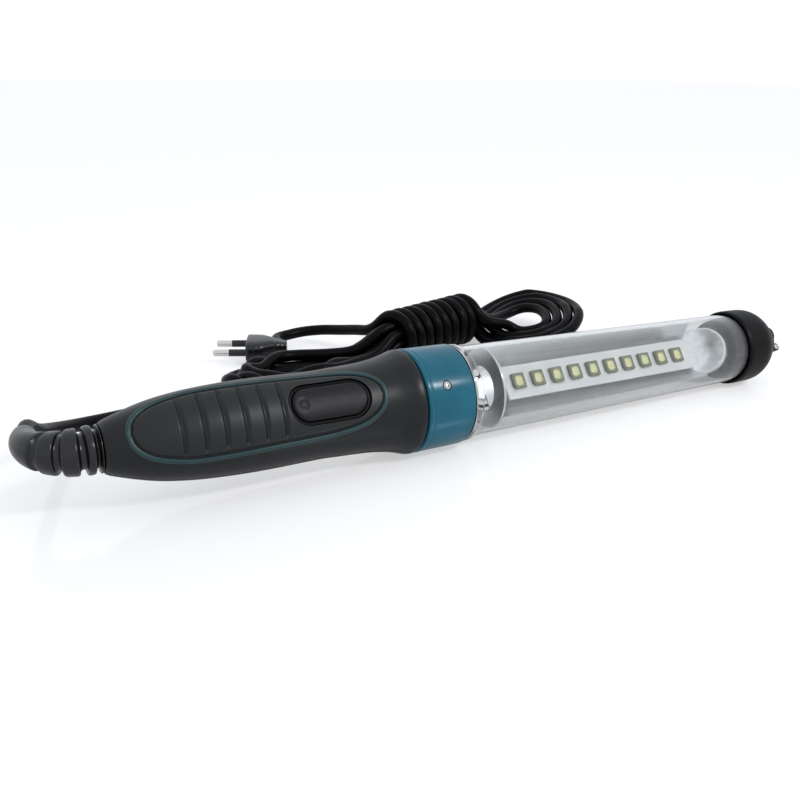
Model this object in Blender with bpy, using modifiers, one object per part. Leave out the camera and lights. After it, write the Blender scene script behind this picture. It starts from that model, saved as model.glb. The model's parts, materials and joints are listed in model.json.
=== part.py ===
"""LED inspection lamp with its mains lead folded into a wound hank.

The lamp lies on its finger flare and on the rubber end cap, with the light turned to the front.
+X runs from the cord boot to the hanging hook, +Z is up. All lengths are in millimetres until
they meet MM, which turns them into Blender's metres.
"""
import math

import bmesh
import bpy
from mathutils import Matrix, Vector

MM = 0.001
GAP = 0.3

# How the lamp lies
ROLL = math.radians(52.5)            # turns the light and the button to the front
FLARE_RADIUS = 24.5
CAP_RADIUS = 20.8
FLARE_FRONT = 4.0
CAP_REST = 219.0
TILT = math.asin((FLARE_RADIUS - CAP_RADIUS) / (CAP_REST - FLARE_FRONT))
HANDLE_BEND = math.radians(0.6)      # the handle rises a little towards the boot

# Handle, as x and radius from the boot to the flare
HANDLE = ((-132.0, 10.6), (-125.0, 13.0), (-117.0, 15.4), (-109.0, 17.2), (-99.0, 18.6),
          (-89.0, 19.4), (-77.0, 19.9), (-64.0, 20.0), (-49.0, 19.7), (-40.0, 19.6),
          (-32.0, 19.9), (-24.0, 20.2), (-16.0, 20.7), (-8.0, 21.8), (-3.0, 23.0),
          (1.0, 24.2), (FLARE_FRONT, FLARE_RADIUS))
WALL = 2.3
REAR_OPENING = 8.2
FRONT_OPENING = 20.6
LIP = 3.0
HANDLE_SCREWS = ((-104.5, 0.0), (-63.5, 12.5), (-63.5, -12.5), (-12.5, 0.0))

# Soft grip inlay: half outline, as x and half width
GRIP = ((-124.5, 0.0), (-123.0, 5.4), (-118.8, 9.7), (-112.0, 12.8), (-100.0, 15.2),
        (-84.0, 15.8), (-68.0, 15.6), (-52.0, 15.2), (-38.0, 14.6), (-26.0, 13.0),
        (-18.0, 9.6), (-13.8, 4.8), (-12.8, 0.0))
TRIM_WIDTH = 2.0
GRIP_PROUD = 0.9
RIB_FIRST, RIB_PITCH, RIB_COUNT = -103.15, 8.4, 6

# Push button
BUTTON_X = -40.0
BUTTON_HALF = (17.2, 7.3)
BUTTON_PROUD = 1.2
BEZEL_WIDTH = 1.4
SWITCH_TOP = 11.2

# Light tube
TUBE_START, TUBE_END = 7.0, 227.0
TUBE_RADII = (21.9, 19.0)
TUBE_WALL = 1.7
COLLAR = (5.0, 30.0)
COLLAR_RADII = (24.4, 24.0)
COLLAR_BORE = 22.4
BOARD = (61.0, 186.5)
BOARD_WIDTH = 17.0
LED_FIRST, LED_PITCH, LED_COUNT = 68.6, 11.85, 10
LED_SIZE = (7.2, 7.8, 1.8)
BOARD_TOP = 1.2
PLATE = (47.6, 49.0)
SCOOP = (188.0, 204.8)
CAP_END = 246.2
HOOK_PIN = (252.0, -5.6)
HOOK_BEND = 4.2

# Cord
CORD = 6.6
BOOT_BEND = 19.5
BOOT_ANGLE = math.radians(102.0)
BOOT = ((0.0, 9.9), (0.8, 9.9), (1.1, 7.5), (2.6, 7.5), (2.9, 9.9), (5.8, 9.9), (6.1, 7.3),
        (8.1, 7.3), (8.4, 9.6), (13.0, 9.3), (13.4, 7.0), (15.2, 7.0), (15.6, 8.9), (20.4, 8.4),
        (20.8, 6.6), (22.6, 6.5), (23.0, 7.9), (28.0, 7.2), (33.0, 6.3), (38.0, 5.5), (43.0, 4.9),
        (45.0, 4.7))
LEAD_ROUTE = ((-150.0, 46.0, 22.0), (-141.0, 65.0, 13.8), (-126.0, 82.0, 7.2),
              (-104.0, 93.0, 3.8), (-79.0, 98.0, 3.6), (-57.0, 102.0, 3.8))
TAIL_ROUTE = ((55.5, 131.0, 18.0), (51.5, 145.0, 14.5), (47.0, 158.0, 11.5), (40.0, 170.0, 9.3),
              (29.0, 176.0, 7.9), (18.0, 175.5, 7.1), (9.0, 171.5, 7.0))
HANK_OUTLINE = ((-53.0, 103.0), (-41.0, 93.0), (-9.0, 93.0), (51.0, 99.0), (111.0, 105.0),
                (146.0, 83.0), (181.0, 71.0), (209.0, 85.0), (224.0, 117.0), (223.0, 153.0),
                (205.0, 183.0), (171.0, 187.0), (141.0, 167.0), (111.0, 147.0), (51.0, 129.0),
                (-19.0, 125.0), (-47.0, 117.0))
HANK_HEIGHT = 17.0
WINDING = ((59.0, 114.0), (125.0, 132.0))
WINDING_RADIUS = 16.5
PLUG_FACE = (-13.5, 161.5, 7.0)
PLUG_HEADING = math.radians(155.0)
PIN_SPACING, PIN_LENGTH, PIN_RADIUS = 18.6, 19.0, 2.0

ROUND = 32                            # sides of the large turned pieces
SMALL_ROUND = 16


# ---- scene, materials and placing ------------------------------------------------------------

def clear_scene():
    for thing in list(bpy.data.objects):
        bpy.data.objects.remove(thing, do_unlink=True)


def new_collection(name):
    group = bpy.data.collections.new(name)
    bpy.context.scene.collection.children.link(group)
    return group


def material(name, colour, roughness, metallic=0.0, transmission=0.0):
    paint = bpy.data.materials.new(name)
    paint.use_nodes = True
    shader = paint.node_tree.nodes["Principled BSDF"]
    shader.inputs["Base Color"].default_value = (*colour, 1.0)
    shader.inputs["Roughness"].default_value = roughness
    shader.inputs["Metallic"].default_value = metallic
    shader.inputs["Transmission Weight"].default_value = transmission
    return paint


def empty(name, parent=None, location=(0, 0, 0), rotation=(0, 0, 0)):
    anchor = bpy.data.objects.new(name, None)
    bpy.context.scene.collection.objects.link(anchor)
    anchor.parent = parent
    anchor.location = Vector(location) * MM
    anchor.rotation_euler = rotation
    return anchor


def put(mesh, name, parent, paint=None, location=(0, 0, 0), rotation=(0, 0, 0)):
    """Makes an object of a mesh or curve; without a paint it is a cutter."""
    thing = bpy.data.objects.new(name, mesh)
    (PARTS if paint else CUTTERS).objects.link(thing)
    thing.parent = parent
    thing.location = Vector(location) * MM
    thing.rotation_euler = rotation
    if paint:
        thing.data.materials.append(paint)
    else:
        thing.hide_render = True
        thing.display_type = "WIRE"
    return thing


def combine(piece, other, operation="DIFFERENCE"):
    step = piece.modifiers.new(operation.lower(), "BOOLEAN")
    step.operation = operation
    step.solver = "EXACT"
    step.object = other


# ---- shapes ----------------------------------------------------------------------------------

def smooth(points, per_span=3, closed=False):
    """Catmull-Rom points through the given ones."""
    pts = [Vector(p) for p in points]
    count = len(pts)
    out = []
    for i in range(count if closed else count - 1):
        if closed:
            a, b, c, d = (pts[(i + k) % count] for k in (-1, 0, 1, 2))
        else:
            b, c = pts[i], pts[i + 1]
            a = pts[i - 1] if i else b * 2 - c
            d = pts[i + 2] if i + 2 < count else c * 2 - b
        for k in range(per_span):
            t = k / per_span
            out.append(0.5 * ((2 * b) + (c - a) * t + (2 * a - 5 * b + 4 * c - d) * t * t
                              + (3 * b - a - 3 * c + d) * t ** 3))
    if not closed:
        out.append(pts[-1])
    return out


def turned(name, profile, parent, paint=None, sides=ROUND, location=(0, 0, 0)):
    """Turns (x, radius) points round the parent's X axis: outer side first, from high x to low x.

    A profile that starts or ends on the axis stays open there, any other is closed.
    """
    mesh = bpy.data.meshes.new(name)
    verts = [(r * MM, 0.0, x * MM) for x, r in profile]
    edges = [(i, i + 1) for i in range(len(verts) - 1)]
    if profile[0][1] > 0 and profile[-1][1] > 0:
        edges.append((len(verts) - 1, 0))
    mesh.from_pydata(verts, edges, [])
    thing = put(mesh, name, parent, paint, location, (0, math.pi / 2, 0))
    screw = thing.modifiers.new("turn", "SCREW")
    screw.steps = sides
    screw.render_steps = sides
    screw.use_merge_vertices = True
    screw.merge_threshold = 0.00001
    screw.use_smooth_shade = True
    return thing


def box(name, low, high, parent, paint=None, bevel=0.0):
    bm = bmesh.new()
    bmesh.ops.create_cube(bm, size=1.0)
    low, high = Vector(low) * MM, Vector(high) * MM
    size = high - low
    bmesh.ops.scale(bm, vec=size, verts=bm.verts)
    bmesh.ops.translate(bm, vec=(low + high) / 2, verts=bm.verts)
    mesh = bpy.data.meshes.new(name)
    bm.to_mesh(mesh)
    bm.free()
    thing = put(mesh, name, parent, paint)
    if bevel:
        soften(thing, bevel)
    return thing


def soften(thing, width, segments=1):
    edge = thing.modifiers.new("round", "BEVEL")
    edge.width = width * MM
    edge.segments = segments
    edge.limit_method = "ANGLE"


def cylinder(name, centre, radius, low, high, parent, paint=None, sides=SMALL_ROUND):
    """An upright cylinder along the parent's Z, at centre (x, y)."""
    bm = bmesh.new()
    bmesh.ops.create_cone(bm, cap_ends=True, segments=sides, radius1=radius * MM,
                          radius2=radius * MM, depth=(high - low) * MM)
    mesh = bpy.data.meshes.new(name)
    bm.to_mesh(mesh)
    bm.free()
    return put(mesh, name, parent, paint, (*centre, (low + high) / 2))


def prism(name, outline, low, high, parent, paint=None):
    """A flat outline extruded along the parent's Z, as a mesh that can cut."""
    curve = bpy.data.curves.new(name, "CURVE")
    curve.dimensions = "2D"
    curve.fill_mode = "BOTH"
    curve.extrude = (high - low) / 2 * MM
    spline = curve.splines.new("POLY")
    spline.points.add(len(outline) - 1)
    for point, place in zip(spline.points, outline):
        point.co = (place[0] * MM, place[1] * MM, 0.0, 1.0)
    spline.use_cyclic_u = True
    return as_mesh(name, curve, parent, paint, (0, 0, (low + high) / 2))


def as_mesh(name, curve, parent, paint=None, location=(0, 0, 0)):
    holder = bpy.data.objects.new(name + "_curve", curve)
    bpy.context.scene.collection.objects.link(holder)
    bpy.context.view_layer.update()
    shape = holder.evaluated_get(bpy.context.evaluated_depsgraph_get())
    mesh = bpy.data.meshes.new_from_object(shape)
    bpy.data.objects.remove(holder, do_unlink=True)
    bm = bmesh.new()
    bm.from_mesh(mesh)
    bmesh.ops.remove_doubles(bm, verts=bm.verts, dist=0.000001)
    bmesh.ops.recalc_face_normals(bm, faces=bm.faces)
    bm.to_mesh(mesh)
    bm.free()
    return put(mesh, name, parent, paint, location)


def tube(name, points, radius, parent, paint=None, sides=3, radii=None):
    """A capped round tube along a chain of points; radii gives each point its own radius.

    Without a paint it is a mesh that can be combined with a piece.
    """
    curve = bpy.data.curves.new(name, "CURVE")
    curve.dimensions = "3D"
    curve.bevel_depth = radius * MM
    curve.bevel_resolution = sides
    curve.use_fill_caps = True
    spline = curve.splines.new("POLY")
    spline.points.add(len(points) - 1)
    for i, (point, place) in enumerate(zip(spline.points, points)):
        point.co = (*(Vector(place) * MM), 1.0)
        point.radius = radii[i] / radius if radii else 1.0
    return put(curve, name, parent, paint) if paint else as_mesh(name, curve, parent)


def stadium(half_length, half_width, grow=0.0, centre=0.0, steps=8):
    """Outline of a bar with round ends along X."""
    r = half_width + grow
    straight = half_length - half_width
    points = []
    for side in (1, -1):
        for k in range(steps + 1):
            angle = side * math.pi / 2 - math.pi * k / steps
            points.append((centre + side * straight + r * math.cos(angle),
                           r * math.sin(angle)))
    return points


def inset(outline, distance):
    """The outline moved inwards, for a closed outline that runs clockwise."""
    out = []
    for i, here in enumerate(outline):
        before, after = Vector(outline[i - 1]), Vector(outline[(i + 1) % len(outline)])
        along = (after - before).normalized()
        out.append((here[0] + along.y * distance, here[1] - along.x * distance))
    return out


def loft(name, sections, parent, paint):
    """Joins closed sections of the same count of points, each a list of (x, y, z)."""
    bm = bmesh.new()
    rings = [[bm.verts.new(Vector(p) * MM) for p in section] for section in sections]
    count = len(rings[0])
    for near, far in zip(rings, rings[1:]):
        for i in range(count):
            j = (i + 1) % count
            bm.faces.new((near[i], near[j], far[j], far[i]))
    bm.faces.new(rings[0])
    bm.faces.new(rings[-1])
    bmesh.ops.triangulate(bm, faces=[f for f in bm.faces if len(f.verts) > 4])
    bmesh.ops.recalc_face_normals(bm, faces=bm.faces)
    mesh = bpy.data.meshes.new(name)
    bm.to_mesh(mesh)
    bm.free()
    return put(mesh, name, parent, paint)


# ---- handle ----------------------------------------------------------------------------------

def handle_outside(grow=0.0):
    """The handle's outer profile from the flare to the boot."""
    return [(x, r + grow) for x, r in reversed(HANDLE)]


def handle_inside():
    rear, front = HANDLE[0][0], HANDLE[-1][0]
    hollow = [(x, r - WALL) for x, r in HANDLE if rear + LIP < x < -4.0]
    return ([(rear, REAR_OPENING), (rear + LIP, REAR_OPENING), (rear + LIP, 9.6)] + hollow
            + [(-2.2, 21.7), (front - 2.0, 21.9), (front - 2.0, FRONT_OPENING),
               (front, FRONT_OPENING)])


def handle_shell(name, side):
    """One half of the handle: side is 1 for the button half and -1 for the back half."""
    shell = turned(name, handle_outside() + handle_inside(), HANDLE_AXIS, SHELL_PLASTIC)
    split = GAP / 2 * side
    low, high = sorted((split, 40.0 * side))
    combine(shell, box(name + "_half", (-150, -40, low), (10, 40, high), HANDLE_AXIS),
            "INTERSECT")
    for i, (x, y) in enumerate(HANDLE_SCREWS, 1):
        tag = f"{name}_{i}"
        reach = boss_reach(x, y) * side
        combine(shell, cylinder(tag + "_boss", (x, y), 4.4, min(split, reach), max(split, reach),
                                HANDLE_AXIS), "UNION")
        depth = 11.0 if side > 0 else -30.0
        combine(shell, cylinder(tag + "_hole", (x, y), 1.8, min(-5.0, depth), max(5.0, depth),
                                HANDLE_AXIS))
        if side < 0:
            combine(shell, cylinder(tag + "_sink", (x, y), 3.4, -30.0, -11.0, HANDLE_AXIS))
    return shell


def boss_reach(x, y):
    """How far a screw boss reaches from the split to stay inside the outer wall."""
    radius = min(r for place, r in HANDLE if abs(place - x) < 9.0)
    return math.sqrt(radius ** 2 - (abs(y) + 4.4) ** 2) - 0.4


def handle_screw(index, place):
    head = [(-11.0 - GAP, 3.0), (-12.9, 3.0), (-13.4, 2.3), (-13.4, 0.0)]
    shank = [(9.6, 0.0), (8.0, 1.45), (-11.0 - GAP, 1.45)]
    screw = turned(f"handle_screw_{index}", shank + head, HANDLE_AXIS, STEEL, SMALL_ROUND)
    screw.rotation_euler = (0, 0, 0)
    screw.location = Vector((*place, 0.0)) * MM


def grip_outline():
    """The whole outline of the inlay, clockwise seen from the front."""
    upper = smooth([(x, y, 0.0) for x, y in GRIP], 2)
    half = [(p.x, max(p.y, 0.0)) for p in upper]
    return half + [(x, -y) for x, y in reversed(half[1:-1])]


def grip_sheet(name, low, high, paint, outline):
    """A layer of the grip that follows the handle between two heights over its surface."""
    skin = handle_outside(high) + list(reversed(handle_outside(low)))
    layer = turned(name, skin, HANDLE_AXIS, paint)
    combine(layer, prism(name + "_edge", outline, 2.0, 40.0, HANDLE_AXIS), "INTERSECT")
    return layer


def grip():
    outline = grip_outline()
    trim = grip_sheet("grip_trim", GAP, GRIP_PROUD - 0.15, TRIM_PLASTIC, outline)
    inner = inset(outline, TRIM_WIDTH)
    combine(trim, prism("grip_trim_inner", inner, 0.0, 42.0, HANDLE_AXIS))
    pad = grip_sheet("grip_pad", GAP, GRIP_PROUD, RUBBER, inset(outline, TRIM_WIDTH + GAP))
    hole = stadium(*BUTTON_HALF, BEZEL_WIDTH + 2 * GAP, BUTTON_X)
    combine(pad, prism("grip_button_hole", hole, 0.0, 42.0, HANDLE_AXIS))
    for i in range(RIB_COUNT):
        x = RIB_FIRST + i * RIB_PITCH
        radius = max(r for place, r in HANDLE if abs(place - x) < 9.0) + GRIP_PROUD
        slot = [(x + y, 10.5 * w) for y, w in ((-0.9, -1), (-0.9, 1), (0.9, 1), (0.9, -1))]
        groove = prism(f"grip_groove_{i + 1}", slot, 5.0, 40.0, HANDLE_AXIS)
        combine(groove, turned(f"grip_floor_{i + 1}", [(x + 4, 0.0), (x + 4, radius - 0.45),
                               (x - 4, radius - 0.45), (x - 4, 0.0)], HANDLE_AXIS))
        combine(pad, groove)


def button():
    """The button slides in along -Z of the handle against its spring."""
    anchor = empty("button_slide", HANDLE_AXIS, (BUTTON_X, 0, 0))
    body = handle_outside(BUTTON_PROUD)
    cap = turned("button", [(body[0][0], 0.0)] + body + [(body[-1][0], 0.0)], anchor,
                 BUTTON_PLASTIC, location=(-BUTTON_X, 0, 0))
    combine(cap, prism("button_edge", stadium(*BUTTON_HALF), 13.5, 40.0, anchor), "INTERSECT")
    cylinder("switch_plunger", (0, 0), 3.5, 3.0, 13.5 - GAP, anchor, PALE_PLASTIC)
    outer = handle_outside(0.7)
    ring = turned("button_bezel", [(outer[0][0], 0.0)] + outer + [(outer[-1][0], 0.0)],
                  HANDLE_AXIS, RUBBER)
    combine(ring, prism("bezel_outer", stadium(*BUTTON_HALF, BEZEL_WIDTH + GAP, BUTTON_X),
                        SWITCH_TOP + GAP, 40.0, HANDLE_AXIS), "INTERSECT")
    combine(ring, prism("bezel_inner", stadium(*BUTTON_HALF, GAP, BUTTON_X), 0.0, 42.0,
                        HANDLE_AXIS))


def switch():
    body = box("switch_body", (BUTTON_X - 17, -9.0, -3.0), (BUTTON_X + 15, 9.0, SWITCH_TOP),
               HANDLE_AXIS, DARK_PLASTIC)
    combine(body, cylinder("switch_well", (BUTTON_X, 0), 4.0, -1.0, SWITCH_TOP + 5,
                           HANDLE_AXIS))
    turns, wire, radius = 2.6, 0.25, 2.9
    steps = int(turns * 14)
    coil = []
    for k in range(steps + 1):
        angle = 2 * math.pi * turns * k / steps
        coil.append((BUTTON_X + radius * math.cos(angle), radius * math.sin(angle),
                     -1.0 + GAP + wire + k / steps * 1.7))
    tube("switch_spring", coil, wire, HANDLE_AXIS, STEEL, 1)


def electronics():
    box("driver_board", (-97, -7.6, -3.2), (-63.5, 7.6, -1.6), HANDLE_AXIS, BOARD_GREEN)
    cylinder("capacitor", (-92, 0), 4.0, -1.6 + GAP, 9.0, HANDLE_AXIS, DARK_PLASTIC)
    core = box("transformer", (-86.5, -6.5, -1.6 + GAP), (-74.5, 6.5, 9.0), HANDLE_AXIS,
               DARK_PLASTIC)
    soften(core, 0.8)
    box("terminal_block", (-73, -7, -1.6 + GAP), (-65, 7, 5.5), HANDLE_AXIS, PALE_PLASTIC)


def cord_anchor():
    """The clamp that holds the cord's sheath behind the boot."""
    rear = HANDLE[0][0]
    tube("cord_end", [(rear + 8.6, 0, 0), (rear + 12.5, 0, 0), (rear + 16.5, 0, 0)], CORD / 2,
         HANDLE_AXIS, CORD_RUBBER, 3)
    bar = box("cord_clamp", (rear + 10.5, -8.2, CORD / 2 + GAP), (rear + 14.5, 8.2, 6.0),
              HANDLE_AXIS, PALE_PLASTIC)
    for i, y in enumerate((-6.0, 6.0), 1):
        combine(bar, cylinder(f"clamp_hole_{i}", (rear + 12.5, y), 1.5, 0, 20, HANDLE_AXIS))
        profile = [(3.0, 0.0), (3.0, 1.1), (6.0 + GAP, 1.1), (6.0 + GAP, 2.0), (7.6, 2.0),
                   (7.6, 0.0)]
        screw = turned(f"clamp_screw_{i}", list(reversed(profile)), HANDLE_AXIS, STEEL, 12)
        screw.rotation_euler = (0, 0, 0)
        screw.location = Vector((rear + 12.5, y, 0)) * MM


def wires():
    rear = HANDLE[0][0] + 17.2
    for name, side in (("mains_wire_a", 1), ("mains_wire_b", -1)):
        route = ((rear, 1.6 * side, 0), (rear + 4.5, 6.4 * side, 0.3), (rear + 10, 7.4 * side, 0),
                 (-97, 11.2 * side, 0.5), (-87, 11.5 * side, 1.0), (-79, 11.0 * side, 1.2),
                 (-71.5, 8.3 * side, 1.2))
        tube(name, smooth(route, 3), 0.9, HANDLE_AXIS, CORD_RUBBER, 1)
    for name, side in (("light_wire_a", 1), ("light_wire_b", -1)):
        route = ((-64.0, 3.0 * side, 2.0), (-62.0, 3.2 * side, 1.0), (-60.6, 3.4 * side, -2.0),
                 (-59.4, 3.6 * side, -5.0), (-55, 5.0 * side, -6.6), (-36, 7.0 * side, -7.0),
                 (-14, 9.5 * side, -6.5), (6, 7.5 * side, -7.5), (30, 7.5 * side, -6.0),
                 (54, 7.5 * side, -4.0))
        tube(name, smooth(route, 3), 0.8, HANDLE_AXIS, CORD_RUBBER, 1)


# ---- light tube ------------------------------------------------------------------------------

def tube_radius(x):
    """Outer radius of the tapered clear tube."""
    share = (x - 36.0) / (TUBE_END - 36.0)
    return TUBE_RADII[0] + (TUBE_RADII[1] - TUBE_RADII[0]) * max(0.0, share)


def lens_tube():
    rim = (COLLAR[1] + 2 * GAP, 34.6)
    outer = [(TUBE_END, tube_radius(TUBE_END)), (36.0, TUBE_RADII[0]), (34.9, TUBE_RADII[0]),
             (rim[1], 22.9), (rim[1] - 0.6, 23.4), (rim[0] + 0.4, 23.4), (rim[0], 23.0),
             (rim[0], TUBE_RADII[0]), (TUBE_START, TUBE_RADII[0])]
    inner = [(x, tube_radius(x) - TUBE_WALL) for x in (TUBE_START, 36.0, TUBE_END)]
    turned("lens_tube", outer + inner, TUBE_AXIS, CLEAR_PLASTIC)


def socket():
    """The sleeve in the handle's mouth that carries the tube, its seal and the locking collar."""
    turned("tube_socket", [(24.0, 19.8), (18.2, 19.8), (18.2, 18.8), (15.8, 18.8), (15.8, 19.8),
                           (1.6, 19.8), (1.6, 21.3), (-1.6, 21.3), (-1.6, 17.2), (24.0, 17.2)],
           TUBE_AXIS, DARK_PLASTIC)
    ring = [(17.0 + 0.5 * math.cos(a), 19.45 + 0.5 * math.sin(a))
            for a in (2 * math.pi * k / 6 for k in range(6))]
    turned("socket_seal", ring, TUBE_AXIS, RUBBER, 24)


def collar():
    low, high = COLLAR
    big, small = COLLAR_RADII
    band = turned("lock_collar", [(high, small - 0.7), (high - 0.7, small), (low + 0.7, big),
                                  (low, big - 0.7), (low, COLLAR_BORE),
                                  (high, COLLAR_BORE)],
                  TUBE_AXIS, COLLAR_PLASTIC)
    anchor = empty("collar_screw_axis", TUBE_AXIS, (15.5, 0, 0), (math.radians(5.0), 0, 0))
    combine(band, cylinder("collar_screw_hole", (0, 0), 2.3, 10, 40, anchor))
    cylinder("collar_screw", (0, 0), 2.0, TUBE_RADII[0] + GAP, 24.9, anchor, STEEL, 16)


def reflector():
    """A chromed trough behind the board, its end plate and the scoop at the far end."""
    def section(x, tip, rise):
        face = [(9.0, -0.8), (9.6, -0.2), (tip, rise)]
        back = [(tip + 0.3, rise - 0.7), (10.0, -1.3), (9.2, -1.6)]
        right = face + back
        return ([(x, -y, z) for y, z in reversed(face)] + [(x, y, z) for y, z in right]
                + [(x, -y, z) for y, z in reversed(back)])
    near, far = PLATE
    loft("reflector_trough", [section(far + 0.6, 17.2, 9.2), section(BOARD[1] + 0.5, 15.0, 8.2)],
         TUBE_AXIS, CHROME)
    turned("reflector_plate", [(far, 19.6), (near, 19.6), (near, 11.0), (far, 11.0)], TUBE_AXIS,
           CHROME)
    near, far = SCOOP
    scoop = turned("reflector_scoop", [(far, 0.0), (far, 13.2), (near, 13.2), (near, 0.0)],
                   TUBE_AXIS, CHROME)
    slope = math.radians(52.0)
    ramp = empty("scoop_ramp", TUBE_AXIS, (near + 1.0, 0, -2.5), (0, -slope, 0))
    combine(scoop, box("scoop_cut", (-40, -30, 0), (60, 30, 60), ramp))


def light_board():
    start, end = BOARD
    half = BOARD_WIDTH / 2
    box("led_board", (start, -half, BOARD_TOP - 1.6), (end, half, BOARD_TOP), TUBE_AXIS,
        WHITE_BOARD, 0.2)
    rail = box("board_rail", (26.5, -5.0, -6.5), (end + 0.5, 5.0, -1.6 - GAP), TUBE_AXIS,
               ALUMINIUM)
    soften(rail, 0.5)
    length, width, height = LED_SIZE
    for i in range(LED_COUNT):
        x = LED_FIRST + i * LED_PITCH
        led = box(f"led_{i + 1:02d}", (x - length / 2, -width / 2, BOARD_TOP + GAP),
                  (x + length / 2, width / 2, BOARD_TOP + GAP + height), TUBE_AXIS, LED_YELLOW)
        soften(led, 0.3)


def end_cap():
    turned("end_plug", [(226.8, 0.0), (226.8, 16.6), (205.4, 16.6), (205.4, 0.0)], TUBE_AXIS,
           DARK_PLASTIC)
    turned("end_cap", [(CAP_END, 0.0), (CAP_END, 6.5), (245.6, 8.0), (243.6, 10.2), (240.3, 13.6),
                       (236.5, 16.8), (232.5, 19.2), (228.0, 20.5), (CAP_REST, CAP_RADIUS),
                       (216.0, CAP_RADIUS), (214.4, 20.4), (214.0, 19.6), (227.6, 19.4),
                       (227.6, 17.2), (233.0, 15.6), (239.0, 11.0), (242.0, 5.0), (242.0, 0.0)],
           TUBE_AXIS, RUBBER)


def hook():
    """A hook that folds flat over the cap, on a swivel that turns about the lamp's axis."""
    swivel = empty("hook_swivel_axis", TUBE_AXIS)
    seat = CAP_END + GAP
    base = turned("hook_swivel", [(seat + 2.6, 0.0), (seat + 2.6, 7.0), (seat + 1.8, 7.8),
                                  (seat, 8.0), (seat, 0.0)], swivel, DARK_PLASTIC, 24)
    pin_x, pin_y = HOOK_PIN
    for i, side in enumerate((-1, 1), 1):
        z = side * 3.0
        ear = cylinder(f"hook_ear_{i}", HOOK_PIN, 2.3, z - 0.9, z + 0.9, swivel)
        combine(base, ear, "UNION")
        root = box(f"hook_ear_root_{i}", (seat + 1.5, pin_y - 1.6, z - 0.8),
                   (pin_x, pin_y + 1.6, z + 0.8), swivel)
        combine(base, root, "UNION")
    combine(base, cylinder("hook_bore", HOOK_PIN, 1.2, -9, 9, swivel))
    cylinder("hook_pin", HOOK_PIN, 0.9, -4.2, 4.2, swivel, STEEL, 12)
    fold = empty("hook_fold_axis", swivel, (pin_x, pin_y, 0))
    eye = cylinder("hook", (0, 0), 2.1, -1.7, 1.7, fold, DARK_PLASTIC)
    arm = [Vector((0, 1.0, 0)), Vector((0, 4.0, 0))]
    arm += [Vector((0, 4.0 + HOOK_BEND * (1 - math.cos(a)), HOOK_BEND * math.sin(a)))
            for a in (math.radians(20 + 18 * k) for k in range(12))]
    combine(eye, tube("hook_arm", arm, 1.4, fold, sides=2), "UNION")
    combine(eye, cylinder("hook_eye_bore", (0, 0), 1.2, -9, 9, fold))


# ---- cord ------------------------------------------------------------------------------------

def boot_point(distance):
    """A point on the boot's centre line: out of the handle's mouth, then bent to the back."""
    straight = 6.0
    mouth = HANDLE_FRAME @ Vector((HANDLE[0][0] - GAP, 0, 0))
    outwards = HANDLE_FRAME.to_3x3() @ Vector((-1, 0, 0))
    if distance <= straight:
        return mouth + outwards * distance
    angle = min((distance - straight) / BOOT_BEND, BOOT_ANGLE)
    rest = distance - straight - angle * BOOT_BEND
    heading = Vector((-math.cos(angle), math.sin(angle), 0))
    centre = mouth + outwards * straight + Vector((0, BOOT_BEND, 0))
    on_arc = centre + Vector((-math.sin(angle), -math.cos(angle), 0)) * BOOT_BEND
    return on_arc + heading * rest


def boot():
    rear_neck = [(-6.6, 9.2), (-3.8, 9.2), (-3.6, REAR_OPENING - 0.5), (-0.1, REAR_OPENING - 0.5)]
    line = rear_neck + list(BOOT)
    points = [boot_point(s) for s, _ in line]
    tube("cord_boot", points, 10.0, LAMP, RUBBER, 4, [r for _, r in line])


def cord():
    tip = boot_point(BOOT[-1][0] + GAP)
    beyond = boot_point(BOOT[-1][0] + 12.0)
    lead = smooth([tip, beyond - Vector((0, 0, 1.0))] + [Vector(p) for p in LEAD_ROUTE], 2)
    tube("cord_lead", lead, CORD / 2, LAMP, CORD_RUBBER)
    outline = [(p.x, p.y) for p in smooth([(x, y, 0) for x, y in HANK_OUTLINE], 3, True)]
    hank = prism("cord_hank", outline, 0.1, HANK_HEIGHT, LAMP, CORD_RUBBER)
    soften(hank, 3.0, 2)
    start, end = (Vector((*p, WINDING_RADIUS + 0.1)) for p in WINDING)
    along = (end - start).normalized()
    round_ends = [(0.0, 0.72), (2.0, 0.92), (5.0, 1.0)]
    length = (end - start).length
    places = round_ends + [(length - s, share) for s, share in reversed(round_ends)]
    wound = tube("winding", [start + along * s for s, _ in places], WINDING_RADIUS, LAMP, sides=5,
                 radii=[WINDING_RADIUS * share for _, share in places])
    combine(hank, wound, "UNION")
    tube("cord_tail", smooth([Vector(p) for p in TAIL_ROUTE], 2), CORD / 2, LAMP, CORD_RUBBER)


def plug():
    """A flat two-pin plug; its own frame has the pins along +X from the face."""
    anchor = empty("plug_face", LAMP, PLUG_FACE, (0, 0, PLUG_HEADING))
    widths = [(0.0, 12.6, 6.0), (-1.2, 13.2, 6.4), (-9.0, 12.2, 6.4), (-15.0, 8.2, 6.0),
              (-19.5, 5.0, 4.9), (-24.0, 3.9, 3.9)]
    sections = []
    for x, half, rise in widths:
        ring = []
        for k in range(20):
            angle = 2 * math.pi * k / 20
            c, s = math.cos(angle), math.sin(angle)
            ring.append((x, half * math.copysign(abs(c) ** 0.55, c),
                         rise * math.copysign(abs(s) ** 0.55, s)))
        sections.append(ring)
    loft("plug_body", sections, anchor, CORD_RUBBER)
    for i, side in enumerate((-1, 1), 1):
        pin = turned(f"plug_pin_{i}", [(GAP + PIN_LENGTH, 0.0), (GAP + PIN_LENGTH, 1.1),
                                       (GAP + PIN_LENGTH - 1.4, PIN_RADIUS), (GAP, PIN_RADIUS),
                                       (GAP, 0.0)], anchor, STEEL, 16)
        pin.location = Vector((0, side * PIN_SPACING / 2, 0)) * MM


# ---- assembly --------------------------------------------------------------------------------

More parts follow.
